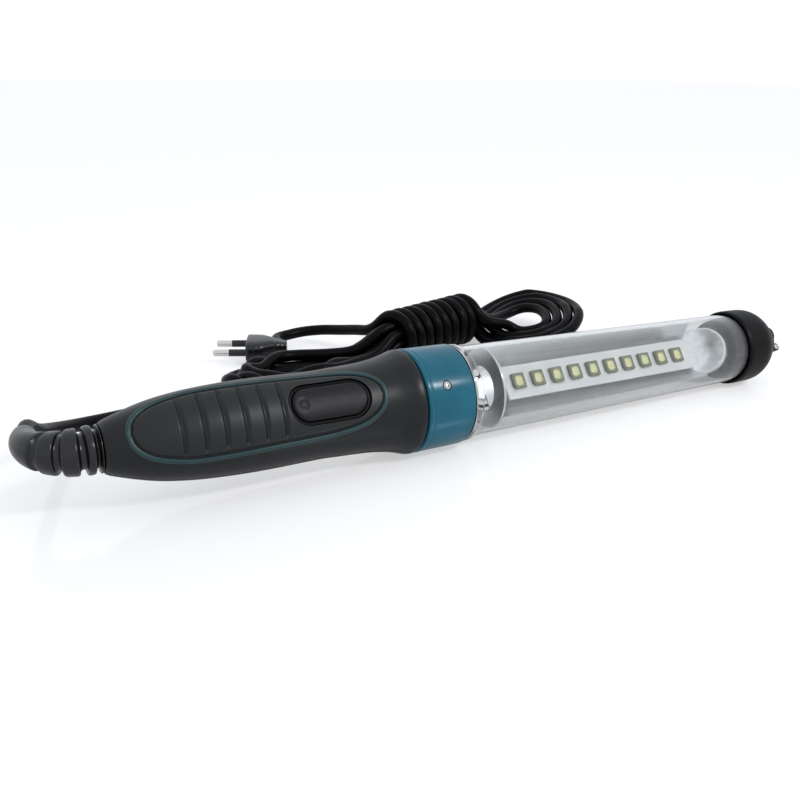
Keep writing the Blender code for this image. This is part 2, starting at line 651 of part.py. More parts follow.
def stand_on_base():
    """Moves the lamp so that its box, without the free cord, is centred over the origin."""
    bpy.context.view_layer.update()
    graph = bpy.context.evaluated_depsgraph_get()
    low, high = Vector((9, 9, 9)), Vector((-9, -9, -9))
    for thing in PARTS.objects:
        if thing.name in ON_THE_CORD:
            continue
        solid = thing.evaluated_get(graph)
        mesh = solid.to_mesh()
        for vertex in mesh.vertices:
            place = thing.matrix_world @ vertex.co
            low = Vector(map(min, low, place))
            high = Vector(map(max, high, place))
        solid.to_mesh_clear()
    LAMP.location += Vector((-(low.x + high.x) / 2, -(low.y + high.y) / 2, -low.z))
    bpy.context.view_layer.update()


clear_scene()
PARTS = new_collection("inspection_lamp")
CUTTERS = new_collection("cutters")
ON_THE_CORD = {"cord_boot", "cord_lead", "cord_hank", "cord_tail", "plug_body", "plug_pin_1",
               "plug_pin_2"}

SHELL_PLASTIC = material("shell_plastic", (0.018, 0.020, 0.022), 0.42)
RUBBER = material("grip_rubber", (0.030, 0.032, 0.035), 0.6)
BUTTON_PLASTIC = material("button_plastic", (0.045, 0.043, 0.050), 0.5)
TRIM_PLASTIC = material("trim_plastic", (0.02, 0.075, 0.08), 0.45)
COLLAR_PLASTIC = material("collar_plastic", (0.02, 0.15, 0.21), 0.3)
CLEAR_PLASTIC = material("clear_plastic", (0.95, 0.97, 0.97), 0.05, 0.0, 1.0)
CHROME = material("chrome", (0.75, 0.76, 0.78), 0.15, 1.0)
STEEL = material("steel", (0.6, 0.6, 0.6), 0.3, 1.0)
ALUMINIUM = material("aluminium", (0.7, 0.7, 0.72), 0.4, 1.0)
DARK_PLASTIC = material("dark_plastic", (0.02, 0.02, 0.02), 0.5)
PALE_PLASTIC = material("pale_plastic", (0.7, 0.68, 0.62), 0.5)
WHITE_BOARD = material("board_white", (0.85, 0.86, 0.85), 0.45)
BOARD_GREEN = material("board_green", (0.02, 0.16, 0.06), 0.45)
LED_YELLOW = material("led_yellow", (0.75, 0.72, 0.25), 0.35)
CORD_RUBBER = material("cord_rubber", (0.015, 0.015, 0.016), 0.5)

LAMP = empty("lamp")
HANDLE_TILT = TILT + HANDLE_BEND
AXIS_HEIGHT = (FLARE_RADIUS * math.cos(HANDLE_TILT) + FLARE_FRONT * math.sin(HANDLE_TILT))
TUBE_AXIS = empty("tube_axis", LAMP, (0, 0, AXIS_HEIGHT), (ROLL, TILT, 0))
HANDLE_AXIS = empty("handle_axis", LAMP, (0, 0, AXIS_HEIGHT), (ROLL, HANDLE_TILT, 0))
HANDLE_FRAME = (Matrix.Translation((0, 0, AXIS_HEIGHT)) @ Matrix.Rotation(HANDLE_TILT, 4, "Y")
                @ Matrix.Rotation(ROLL, 4, "X"))

front = handle_shell("handle_shell_front", 1)
combine(front, prism("button_hole", stadium(*BUTTON_HALF, BEZEL_WIDTH + 2 * GAP, BUTTON_X), 1.0,
                     42.0, HANDLE_AXIS))
handle_shell("handle_shell_back", -1)
for number, spot in enumerate(HANDLE_SCREWS, 1):
    handle_screw(number, spot)
grip()
button()
switch()
electronics()
cord_anchor()
wires()
socket()
collar()
lens_tube()
reflector()
light_board()
end_cap()
hook()
boot()
cord()
plug()
stand_on_base()
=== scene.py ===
"""Looks of the LED inspection lamp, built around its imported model.

Lengths are in millimetres until they meet MM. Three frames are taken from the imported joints:
TUBE and HANDLE have +X along the lamp from the boot to the hook and +Z out of the lit side,
and LAMP has +Z up from the surface that the lamp lies on, with its origin under the flare.
"""

import json
import math

import bmesh
import bpy
import numpy as np
from mathutils import Matrix, Quaternion, Vector


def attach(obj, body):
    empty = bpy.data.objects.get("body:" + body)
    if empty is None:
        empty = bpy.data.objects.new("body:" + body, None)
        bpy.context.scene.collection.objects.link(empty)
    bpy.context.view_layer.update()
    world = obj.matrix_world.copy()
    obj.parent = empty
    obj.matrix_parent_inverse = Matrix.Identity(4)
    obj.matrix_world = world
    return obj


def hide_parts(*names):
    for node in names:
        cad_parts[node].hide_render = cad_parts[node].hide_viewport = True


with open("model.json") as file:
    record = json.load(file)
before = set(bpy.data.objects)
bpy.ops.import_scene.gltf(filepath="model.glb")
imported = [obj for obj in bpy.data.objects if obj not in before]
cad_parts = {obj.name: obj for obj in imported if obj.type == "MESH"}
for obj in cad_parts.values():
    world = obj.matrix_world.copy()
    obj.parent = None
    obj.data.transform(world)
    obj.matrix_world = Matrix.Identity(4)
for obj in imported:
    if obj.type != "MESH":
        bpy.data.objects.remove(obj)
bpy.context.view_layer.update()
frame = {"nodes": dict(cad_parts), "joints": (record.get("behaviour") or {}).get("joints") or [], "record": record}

MM = 0.001
JOINTS = {joint["name"]: joint for joint in frame["joints"]}


def axes(origin, along, outwards):
    x = Vector(along).normalized()
    y = Vector(outwards).cross(x).normalized()
    matrix = Matrix((x, y, x.cross(y))).transposed().to_4x4()
    matrix.translation = origin
    return matrix


FLARE = Vector(JOINTS["hook_turn"]["pos_m"])
TUBE = axes(FLARE, JOINTS["hook_turn"]["axis"], -Vector(JOINTS["hook_fold"]["axis"]))
OUTWARDS = -Vector(JOINTS["button_press"]["axis"])
TILT = math.atan2(OUTWARDS.x, OUTWARDS.z)
HANDLE = axes(FLARE, (math.cos(TILT), 0, -math.sin(TILT)), OUTWARDS)
FLARE_RADIUS, FLARE_FRONT = 24.5, 4.0
AXIS_HEIGHT = FLARE_RADIUS * math.cos(TILT) + FLARE_FRONT * math.sin(TILT)
LAMP = Matrix.Translation(FLARE - Vector((0, 0, AXIS_HEIGHT * MM)))


def linked(name, data):
    """A new object of this data, in the scene."""
    thing = bpy.data.objects.new(name, data)
    bpy.context.scene.collection.objects.link(thing)
    return thing


# ---- camera ----------------------------------------------------------------------------------

def camera():
    azimuth, elevation, roll = (math.radians(a) for a in (-29.33, 20.93, 0.9))
    back = Vector((math.sin(azimuth) * math.cos(elevation),
                   -math.cos(azimuth) * math.cos(elevation), math.sin(elevation)))
    lens = bpy.data.cameras.new("camera")
    lens.lens, lens.sensor_width = 40.5, 36.0
    lens.clip_start = 0.01
    eye = linked("camera", lens)
    turn = back.to_track_quat("Z", "Y") @ Quaternion((0, 0, 1), roll)
    eye.rotation_euler = turn.to_euler()
    eye.location = (-0.2490, -0.3399, 0.1745)
    bpy.context.scene.camera = eye


# ---- materials -------------------------------------------------------------------------------

def shader_node(tree, kind, **inputs):
    """A new node in the tree; each input is named with _ for its spaces."""
    made = tree.nodes.new(kind)
    for socket, value in inputs.items():
        made.inputs[socket.replace("_", " ")].default_value = value
    return made


class Paint:
    """A node material in the making: one Principled shader fed by nodes on object coordinates."""

    def __init__(self, name, **constants):
        self.material = bpy.data.materials.new(name)
        self.material.use_nodes = True
        self.tree = self.material.node_tree
        self.shader = self.tree.nodes["Principled BSDF"]
        for socket, value in constants.items():
            self.shader.inputs[socket.replace("_", " ")].default_value = value
        self.place = self.node("ShaderNodeTexCoord").outputs["Object"]

    def node(self, kind, **settings):
        made = self.tree.nodes.new(kind)
        for key, value in settings.items():
            setattr(made, key, value)
        return made

    def feed(self, source, target):
        self.tree.links.new(source, target)

    def stretched(self, scale):
        mapping = shader_node(self.tree, "ShaderNodeMapping", Scale=scale)
        self.feed(self.place, mapping.inputs["Vector"])
        return mapping.outputs["Vector"]

    def noise(self, size, detail=2.0, stretch=(1, 1, 1)):
        """Noise whose features are about size millimetres."""
        made = shader_node(self.tree, "ShaderNodeTexNoise", Scale=1.0, Detail=detail,
                           Roughness=0.5)
        self.feed(self.stretched([s / (size * MM) for s in stretch]), made.inputs["Vector"])
        return made.outputs["Fac"]

    def ranged(self, source, low, high, start=0.3, end=0.7):
        made = shader_node(self.tree, "ShaderNodeMapRange", From_Min=start, From_Max=end,
                           To_Min=low, To_Max=high)
        self.feed(source, made.inputs["Value"])
        return made.outputs["Result"]

    def mixed(self, share, first, second):
        """The colour that lies this share of the way from the first to the second."""
        made = self.node("ShaderNodeMix", data_type="RGBA")
        self.feed(share, made.inputs["Factor"])
        ends = [socket for socket in made.inputs if socket.type == "RGBA"]
        for socket, value in zip(ends, (first, second)):
            socket.default_value = (*value, 1.0)
        return [socket for socket in made.outputs if socket.type == "RGBA"][0]

    def colour(self, source):
        self.feed(source, self.shader.inputs["Base Color"])

    def roughness(self, source):
        self.feed(source, self.shader.inputs["Roughness"])

    def bump(self, height, depth):
        """Height from 0 to 1 stands depth millimetres proud."""
        made = shader_node(self.tree, "ShaderNodeBump", Strength=1.0, Distance=depth * MM)
        self.feed(height, made.inputs["Height"])
        self.feed(made.outputs["Normal"], self.shader.inputs["Normal"])


def tinted(colour, factor):
    return tuple(min(1.0, c * factor) for c in colour)


def moulded(name, colour, rough, grain=0.45, depth=0.02, spread=0.06, **constants):
    """Moulded plastic or rubber: a fine spark-eroded grain, faint mottling and handling marks."""
    paint = Paint(name, **constants)
    paint.colour(paint.mixed(paint.ranged(paint.noise(14.0, 3.0), 0.0, 1.0), tinted(colour, 0.86),
                             tinted(colour, 1.16)))
    smears = paint.noise(9.0, 4.0, (0.5, 1, 1))
    paint.roughness(paint.ranged(smears, rough - spread, rough + spread))
    paint.bump(paint.noise(grain, 2.0), depth)
    return paint.material


def brushed(name, colour, rough, stretch=(0.04, 1, 1), size=0.35, depth=0.006, spread=0.07):
    """Metal or metallised plastic with fine drawn lines along X."""
    paint = Paint(name, Metallic=1.0)
    lines = paint.noise(size, 3.0, stretch)
    paint.colour(paint.mixed(paint.ranged(lines, 0.0, 1.0), tinted(colour, 0.9),
                             tinted(colour, 1.05)))
    paint.roughness(paint.ranged(paint.noise(6.0, 3.0, (0.1, 1, 1)), rough - spread,
                                 rough + spread))
    paint.bump(lines, depth)
    return paint.material


def clear_plastic():
    """Polished polycarbonate with the faintest drawn waviness and a few hairline rubs."""
    paint = Paint("clear_plastic", Base_Color=(0.97, 0.985, 0.985, 1.0), Transmission_Weight=1.0,
                  IOR=1.49)
    paint.roughness(paint.ranged(paint.noise(5.0, 4.0, (0.1, 1, 1)), 0.01, 0.035, 0.45, 0.8))
    paint.bump(paint.noise(9.0, 1.0, (0.1, 1, 1)), 0.002)
    return paint.material


def board_white():
    """White solder mask with the faint outlines of the copper under it."""
    paint = Paint("board_white", Specular_IOR_Level=0.5)
    grid = paint.node("ShaderNodeTexBrick", offset=0.5)
    for socket, value in (("Scale", 1.0), ("Mortar Size", 0.035), ("Brick Width", 1.4),
                          ("Row Height", 0.52)):
        grid.inputs[socket].default_value = value
    paint.feed(paint.stretched([1 / (4.2 * MM)] * 3), grid.inputs["Vector"])
    paint.colour(paint.mixed(paint.ranged(grid.outputs["Fac"], 0.0, 0.35, 0.0, 1.0),
                             (0.86, 0.87, 0.87), (0.74, 0.76, 0.75)))
    paint.roughness(paint.ranged(paint.noise(3.0), 0.32, 0.45))
    paint.bump(grid.outputs["Fac"], 0.03)
    return paint.material


def board_green():
    paint = Paint("board_green")
    copper = paint.noise(2.4, 0.0, (1, 1, 1))
    tracks = paint.ranged(copper, 0.0, 1.0, 0.49, 0.52)
    paint.colour(paint.mixed(tracks, (0.012, 0.11, 0.04), (0.03, 0.2, 0.07)))
    paint.roughness(paint.ranged(paint.noise(1.0), 0.3, 0.45))
    paint.bump(tracks, 0.03)
    return paint.material


def phosphor():
    """Yellow phosphor in clear resin, with a fine grain in its tone, roughness and bump."""
    paint = Paint("led_phosphor", Coat_Weight=0.8, Coat_Roughness=0.08)
    grains = paint.noise(0.25, 3.0)
    paint.colour(paint.mixed(paint.ranged(grains, 0.0, 1.0), (0.72, 0.70, 0.30),
                             (0.88, 0.87, 0.52)))
    paint.roughness(paint.ranged(grains, 0.35, 0.5))
    paint.bump(grains, 0.01)
    return paint.material


def materials():
    return {
        "shell": moulded("shell_plastic", (0.0030, 0.0036, 0.0050), 0.36, depth=0.014,
                         Specular_IOR_Level=0.36),
        "grip": moulded("grip_rubber", (0.0045, 0.0052, 0.0062), 0.42, 0.6,
                        Specular_IOR_Level=0.42),
        "trim": moulded("trim_plastic", (0.009, 0.036, 0.039), 0.40, 0.5, 0.01,
                        Specular_IOR_Level=0.4),
        "button": moulded("button_plastic", (0.008, 0.0075, 0.010), 0.42, 0.4, 0.012,
                          Specular_IOR_Level=0.22),
        "bezel": moulded("bezel_rubber", (0.003, 0.003, 0.0035), 0.6, 0.5, 0.015,
                         Specular_IOR_Level=0.2),
        "collar": moulded("collar_plastic", (0.003, 0.098, 0.155), 0.2, 1.6, 0.008,
                          spread=0.04, Specular_IOR_Level=0.34),
        "clear": clear_plastic(),
        "mirror": brushed("mirror", (0.62, 0.63, 0.64), 0.3, (0.02, 1, 1), 1.4, 0.003, 0.03),
        "scoop": brushed("scoop_mirror", (0.86, 0.87, 0.89), 0.2, (1, 1, 1), 3.0, 0.01),
        "board_white": board_white(),
        "board_green": board_green(),
        "led": phosphor(),
        "led_frame": moulded("led_frame", (0.20, 0.205, 0.125), 0.4, 0.2, 0.004),
        "contact": brushed("contact", (0.78, 0.78, 0.76), 0.3, (1, 1, 1), 0.5),
        "aluminium": brushed("aluminium", (0.72, 0.72, 0.74), 0.36),
        "steel": brushed("steel", (0.56, 0.56, 0.55), 0.28, (1, 1, 0.1)),
        "pins": brushed("pins", (0.72, 0.71, 0.68), 0.22),
        "dark": moulded("dark_plastic", (0.005, 0.005, 0.006), 0.42, Specular_IOR_Level=0.3),
        "plug_inner": moulded("inner_plug", (0.020, 0.018, 0.024), 0.3),
        "cap": moulded("cap_rubber", (0.002, 0.002, 0.0023), 0.42, 0.6,
                       Specular_IOR_Level=0.12),
        "pale": moulded("pale_plastic", (0.62, 0.60, 0.54), 0.45),
        "boot": moulded("boot_rubber", (0.004, 0.004, 0.005), 0.24, 0.7, 0.012,
                        Specular_IOR_Level=0.5),
        "cord": moulded("cord_rubber", (0.0015, 0.0015, 0.002), 0.34, 1.2, spread=0.05,
                        Specular_IOR_Level=0.08),
    }


# ---- mesh helpers ----------------------------------------------------------------------------

def finished(mesh, angle=32.0):
    mesh.shade_smooth()
    mesh.set_sharp_from_angle(angle=math.radians(angle))


def put(name, verts, faces, matrix, paint, angle=32.0):
    """An object of vertices in millimetres, in the frame of matrix, with one paint or several."""
    mesh = bpy.data.meshes.new(name)
    mesh.from_pydata([Vector(v) * MM for v in verts], [], faces)
    bm = bmesh.new()
    bm.from_mesh(mesh)
    bmesh.ops.remove_doubles(bm, verts=bm.verts, dist=0.000001)
    bmesh.ops.dissolve_degenerate(bm, edges=bm.edges, dist=0.0000001)
    bmesh.ops.recalc_face_normals(bm, faces=bm.faces)
    bm.to_mesh(mesh)
    bm.free()
    finished(mesh, angle)
    thing = linked(name, mesh)
    thing.matrix_world = matrix
    for item in (paint if isinstance(paint, list) else [paint]):
        if item:
            mesh.materials.append(item)
    return thing


def rounded(points, radius, steps=4, closed=False):
    """The chain of 2D points with each corner rounded."""
    out = []
    count = len(points)
    for i, here in enumerate(points):
        here = Vector(here)
        if not closed and i in (0, count - 1):
            out.append(tuple(here))
            continue
        before, after = Vector(points[i - 1]), Vector(points[(i + 1) % count])
        cut_before = min(radius, 0.48 * (before - here).length)
        cut_after = min(radius, 0.48 * (after - here).length)
        start = here + (before - here).normalized() * cut_before
        end = here + (after - here).normalized() * cut_after
        for k in range(steps + 1):
            t = k / steps
            out.append(tuple(start * (1 - t) ** 2 + here * 2 * t * (1 - t) + end * t * t))
    return out


def between(a, b, c, d, spacing):
    """Catmull-Rom points from b up to but without c, each with its share of the way."""
    steps = max(1, round((c - b).length / spacing))
    for k in range(steps):
        t = k / steps
        yield t, 0.5 * ((2 * b) + (c - a) * t + (2 * a - 5 * b + 4 * c - d) * t * t
                        + (3 * b - a - 3 * c + d) * t ** 3)


def smooth(points, spacing, closed=False):
    """Catmull-Rom points through the given ones, about spacing apart."""
    pts = [Vector(p) for p in points]
    count = len(pts)
    out = []
    for i in range(count if closed else count - 1):
        if closed:
            a, b, c, d = (pts[(i + k) % count] for k in (-1, 0, 1, 2))
        else:
            b, c = pts[i], pts[i + 1]
            a = pts[i - 1] if i else b * 2 - c
            d = pts[i + 2] if i + 2 < count else c * 2 - b
        out += [point for _, point in between(a, b, c, d, spacing)]
    if not closed:
        out.append(pts[-1])
    return out


def lathe(name, profile, matrix, paint, sides=96, start=0.0, sweep=2 * math.pi):
    """Turns a chain of (x, radius) round X. A part turn is closed by two flat cuts."""
    whole = sweep > 6.28
    steps = sides if whole else max(2, round(sides * sweep / (2 * math.pi)))
    count = len(profile)
    verts, faces = [], []
    for k in range(steps if whole else steps + 1):
        turn = start + sweep * k / steps
        verts += [(x, r * math.sin(turn), r * math.cos(turn)) for x, r in profile]
    rows = steps if whole else steps + 1
    on_axis = profile[0][1] == 0 and profile[-1][1] == 0
    for k in range(steps):
        near, far = k * count, ((k + 1) % rows) * count
        for i in range(count - 1 if on_axis else count):
            j = (i + 1) % count
            faces.append((near + i, near + j, far + j, far + i))
    if not whole:
        faces.append(tuple(range(count)))
        faces.append(tuple(reversed(range(steps * count, (steps + 1) * count))))
    return put(name, verts, faces, matrix, paint)


def ring_faces(rings, points, close_rings=True, caps=True):
    """Faces between rings of the same number of points."""
    faces = []
    for k in range(rings if close_rings else rings - 1):
        near, far = k * points, ((k + 1) % rings) * points
        for i in range(points):
            j = (i + 1) % points
            faces.append((near + i, near + j, far + j, far + i))
    if caps and not close_rings:
        faces.append(tuple(reversed(range(points))))
        faces.append(tuple(range((rings - 1) * points, rings * points)))
    return faces


def swept(name, path, section, matrix, paint, up=(0, 0, 1), closed=False, scale=None, ups=None):
    """Sweeps a closed (sideways, upwards) section along a chain of points."""
    pts = [Vector(p) for p in path]
    verts = []
    for i, here in enumerate(pts):
        before = pts[i - 1] if i or closed else here
        after = pts[(i + 1) % len(pts)] if i + 1 < len(pts) or closed else here
        along = (after - before).normalized()
        over = Vector(ups[i] if ups else up)
        side = along.cross(over).normalized()
        over = side.cross(along)
        share = scale[i] if scale else 1.0
        verts += [here + side * a * share + over * b * share for a, b in section]
    return put(name, verts, ring_faces(len(pts), len(section), closed), matrix, paint)


def circle(radius, count=20):
    return [(radius * math.cos(2 * math.pi * k / count), radius * math.sin(2 * math.pi * k / count))
            for k in range(count)]


def stadium(half_length, half_width, grow=0.0, centre=0.0):
    """Outline of a bar with round ends along X, with extra points along its straight sides."""
    r = half_width + grow
    straight = half_length - half_width
    points = []
    for side in (1, -1):
        for k in range(17):
            turn = side * math.pi / 2 - math.pi * k / 16
            points.append((centre + side * straight + r * math.cos(turn), r * math.sin(turn)))
        for k in range(1, 8):
            points.append((centre + side * straight * (1 - k / 4), -side * r))
    return points


def cut(piece, tools, operation="DIFFERENCE"):
    """Cuts the piece with each tool, for good, and removes the tools."""
    for tool in tools:
        step = piece.modifiers.new("cut", "BOOLEAN")
        step.operation = operation
        step.solver = "EXACT"
        step.object = tool
    bpy.context.view_layer.update()
    shape = piece.evaluated_get(bpy.context.evaluated_depsgraph_get())
    mesh = bpy.data.meshes.new_from_object(shape)
    piece.modifiers.clear()
    piece.data = mesh
    finished(mesh)
    for tool in tools:
        bpy.data.objects.remove(tool, do_unlink=True)
    return piece


def prism(outline, low, high, matrix):
    """A tool of this outline that runs from low to high along Z."""
    verts = [(x, y, z) for z in (low, high) for x, y in outline]
    return put("tool", verts, ring_faces(2, len(outline), False), matrix, None)


def cross_recess(centre, low, high, size, matrix):
    """Two crossed wedges that cut a screwdriver's cross."""
    tools = []
    for a, b in ((size, 0.28 * size), (0.28 * size, size)):
        outline = [(-a, -b), (a, -b), (a, b), (-a, b)]
        verts = [(centre[0] + x * 0.45, centre[1] + y * 0.45, low) for x, y in outline]
        verts += [(centre[0] + x, centre[1] + y, high) for x, y in outline]
        tools.append(put("tool", verts, ring_faces(2, 4, False), matrix, None))
    return tools


def ride(piece, body, slot, *nodes):
    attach(piece, body)
    if nodes:
        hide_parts(*nodes)
    return piece


# ---- cord ------------------------------------------------------------------------------------

CORD = 6.6
HANDLE_REAR = -132.0
GAP = 0.3
BOOT_BEND, BOOT_STRAIGHT, BOOT_ANGLE = 19.5, 6.0, math.radians(102.0)
BOOT_LENGTH = 45.0
LEAD_ROUTE = ((-150, 46, 22), (-141, 65, 13.8), (-126, 82, 7.2), (-104, 93, 3.8), (-79, 98, 3.6),
              (-57, 102, 3.8))
TAIL_ROUTE = ((55.5, 131, 18), (51.5, 145, 14.5), (47, 158, 11.5), (40, 170, 9.3), (29, 176, 7.9),
              (18, 175.5, 7.1), (9, 171.5, 7))
WINDING = (Vector((59, 114, 16.6)), Vector((125, 132, 16.6)))
WOUND_RADIUS = 13.25
PLUG_FACE, PLUG_HEADING = (-13.5, 161.5, 7.0), math.radians(155.0)
LOOPS = 3                                      # whole loops of the hank before the last one
LOOP_INSET, LOOP_CENTRE = 5.6, Vector((177, 137, 0))   # how each right loop lies inside the last
WINDING_TURNS = 8
# The right loops stand off the table from LIFT_FROM on, by END_LIFT at LIFT_FROM + LIFT_RUN
LIFT_FROM, LIFT_RUN, END_LIFT = 128.0, 62.0, 17.0
# Settling: how far a free point sinks per round, until the last rounds, and how soft its bend is
SINK, CALM_ROUNDS, BENDING = 0.10, 60, 0.5
# How the far side, the end and the near side of the right loops run, and the left bights
FAR_SIDE = ((139, 146), (160, 158), (180, 158))
RIGHT_END = ((194, 145), (196, 120), (184, 97))
NEAR_SIDE = ((166, 85), (148, 91), (133, 108))
LEFT_END = ((-22, 96), (-41, 101), (-43, 115), (-24, 126))


def boot_point(distance):
    """A point on the boot's centre line: straight out of the handle, then round to the back."""
    to_lamp = LAMP.inverted() @ HANDLE
    mouth = to_lamp @ (Vector((HANDLE_REAR - GAP, 0, 0)) * MM) / MM
    outwards = to_lamp.to_3x3() @ Vector((-1, 0, 0))
    if distance <= BOOT_STRAIGHT:
        return mouth + outwards * distance
    turn = min((distance - BOOT_STRAIGHT) / BOOT_BEND, BOOT_ANGLE)
    rest = distance - BOOT_STRAIGHT - turn * BOOT_BEND
    centre = mouth + outwards * BOOT_STRAIGHT + Vector((0, BOOT_BEND, 0))
    on_arc = centre + Vector((-math.sin(turn), -math.cos(turn), 0)) * BOOT_BEND
    return on_arc + Vector((-math.cos(turn), math.sin(turn), 0)) * rest


def hank_route():
    """The cord's middle line before it settles, and which of its points stay where they are."""
    start, end = WINDING
    along = (end - start).normalized()
    across = Vector((-along.y, along.x, 0))
    up = Vector((0, 0, 1))
    slots = [(0.0, -1.0)] + [(math.cos(a), math.sin(a)) for a in map(math.radians, (210, -30))]
    slots += [(0.0, 0.0)] + [(math.cos(a), math.sin(a)) for a in map(math.radians, (30, 150))]
    slots += [(0.0, 1.0)]
    slots = [(across * a + up * b) * (CORD + 0.05) for a, b in slots]

    def layer(order):
        return CORD / 2 + 0.2 + CORD * 0.85 * order

    tip = boot_point(BOOT_LENGTH - 6.0)
    beyond = boot_point(BOOT_LENGTH + 12.0) - Vector((0, 0, 1))
    points = [tip, boot_point(BOOT_LENGTH + 1.0), beyond] + [Vector(p) for p in LEAD_ROUTE]
    fixed_until = len(points)
    points += [Vector((-27, 104, layer(0))), Vector((19, 108, layer(0.7)))]
    loose = [(fixed_until, len(points))]
    for k in range(LOOPS + 1):
        out, home = slots[2 * k], slots[min(2 * k + 1, 6)]
        points += [start + out, start.lerp(end, 0.5) + out, end + out]
        first = len(points)
        lap = FAR_SIDE + RIGHT_END + NEAR_SIDE
        for i, (x, y) in enumerate(lap):
            inward = (LOOP_CENTRE - Vector((x, y, 0))).normalized() * (LOOP_INSET * k)
            lift = 1.6 if i in (0, len(lap) - 1) else 0.5
            points.append(Vector((x, y, layer(0.55 * k + lift))) + inward)
        loose.append((first, len(points)))
        if k == LOOPS:
            break
        points += [end + home, start.lerp(end, 0.5) + home, start + home]
        first = len(points)
        points.append(Vector((19, 105 - k, layer(0.7 + 0.8 * k))))
        for x, y in LEFT_END:
            points.append(Vector((x + 4.5 * k, y, layer(1.0 + 0.75 * k))))
        points.append(Vector((19, 119 + k, layer(0.7 + 0.8 * k))))
        loose.append((first, len(points)))
    steps = 200
    first_turn, last_turn = math.radians(150), math.radians(60)
    swing = 2 * math.pi * WINDING_TURNS + first_turn - last_turn
    helix = []
    length = (end - start).length
    for k in range(steps + 1):
        share = k / steps
        turn = first_turn - swing * share
        at = length - 2.0 - (length - 5.5) * share + 0.5 * math.sin(5.3 * turn / math.pi)
        radius = WOUND_RADIUS + 0.12 * math.sin(2.3 * turn)
        helix.append(start + along * at + (across * math.cos(turn) + up * math.sin(turn)) * radius)
    heading = Vector((math.cos(PLUG_HEADING), math.sin(PLUG_HEADING), 0))
    into_plug = [Vector(PLUG_FACE) - heading * 21.0, Vector(PLUG_FACE) - heading * 16.0]
    return points, loose, helix, [Vector(p) for p in TAIL_ROUTE] + into_plug


def settled(points, free, laps=260):
    """Lets the free points sink and bend until no stretch lies in another, at their length."""
    p = np.array(points, float)
    free = np.array(free, float)[:, None]
    rest = np.linalg.norm(np.diff(p, axis=0), axis=1)
    count = len(p)
    apart = CORD + 0.12
    reach = int(math.ceil(apart * 1.6 / rest.mean()))
    index = np.arange(count)
    for lap in range(laps):
        if lap % 8 == 0:
            gap = np.linalg.norm(p[:, None] - p[None], axis=2)
            near = (gap < apart + 4.0) & (index[None] - index[:, None] > reach)
            a, b = np.nonzero(near)
        weight = SINK if lap < laps - CALM_ROUNDS else 0.0
        p[:, 2] -= weight * free[:, 0]
        bend = p.copy()
        bend[2:-2] = (4 * (p[1:-3] + p[3:-1]) - p[:-4] - p[4:]) / 6
        p += (bend - p) * free * BENDING
        for _ in range(2):
            away = p[b] - p[a]
            far = np.linalg.norm(away, axis=1)
            push = np.maximum(apart - far, 0.0)
            step = away / np.maximum(far, 1e-6)[:, None] * (push * 0.5)[:, None]
            shift, hits = np.zeros_like(p), np.ones((count, 1))
            np.add.at(shift, a, -step)
            np.add.at(shift, b, step)
            np.add.at(hits, a, (push > 0)[:, None] * 0.35)
            np.add.at(hits, b, (push > 0)[:, None] * 0.35)
            p += shift / hits * 1.4 * free
            p[:, 2] = np.where(free[:, 0] > 0, np.maximum(p[:, 2], CORD / 2 + 0.1), p[:, 2])
            span = p[1:] - p[:-1]
            size = np.linalg.norm(span, axis=1)
            pull = (span * ((size - rest) / size)[:, None]) * 0.35
            p[:-1] += pull * free[:-1]
            p[1:] -= pull * free[1:]
    return p


def cord_line():
    """The whole cord's middle line, from inside the boot to inside the plug, after it settles."""
    points, loose, helix, tail = hank_route()
    spacing = 3.0
    line, free = [], []
    chain = points + helix[:1]
    marks = [False] * len(chain)
    for first, last in loose:
        for i in range(first, last):
            marks[i] = True
    padded = [chain[0] * 2 - chain[1]] + chain + [helix[8]]
    for i in range(len(chain) - 1):
        for t, point in between(*padded[i:i + 4], spacing):
            line.append(point)
            free.append(min(1.0, (marks[i] * (1 - t) + marks[i + 1] * t) * 1.5))
    wound = smooth(helix, spacing)
    line += wound
    free += [0.0] * len(wound)
    leaving = smooth([wound[-2], wound[-1]] + tail, spacing)[2:]
    line += leaving
    free += [0.0] * len(leaving)
    return settled(line, free)


def even(line, spacing):
    """The line again, as points at an even spacing."""
    p = np.array(line, float)
    run = np.concatenate([[0.0], np.cumsum(np.linalg.norm(np.diff(p, axis=0), axis=1))])
    at = np.linspace(0.0, run[-1], int(run[-1] / spacing) + 1)
    return np.stack([np.interp(at, run, p[:, k]) for k in range(3)], axis=1)


def cord():
    """The cord as one curve, and its length in metres."""
    line = even(cord_line(), 2.4)
    for _ in range(2):
        line[1:-1] = line[1:-1] * 0.5 + (line[:-2] + line[2:]) * 0.25
    line[:, 2] += END_LIFT * np.clip((line[:, 0] - LIFT_FROM) / LIFT_RUN, 0.0, 1.0) ** 1.4
    length = np.linalg.norm(np.diff(line, axis=0), axis=1).sum()
    curve = bpy.data.curves.new("cord", "CURVE")
    curve.dimensions = "3D"
    curve.bevel_depth = CORD / 2 * MM
    curve.bevel_resolution = 5
    curve.use_fill_caps = True
    spline = curve.splines.new("POLY")
    spline.points.add(len(line) - 1)
    for point, place in zip(spline.points, line):
        point.co = (*(Vector(place) * MM), 1.0)
    spline.use_smooth = True
    curve.materials.append(PAINTS["cord"])
    flex = linked("cord", curve)
    flex.matrix_world = LAMP
    ride(flex, "lamp", "cord", "cord_lead", "cord_hank", "cord_tail")
    return flex, length * MM


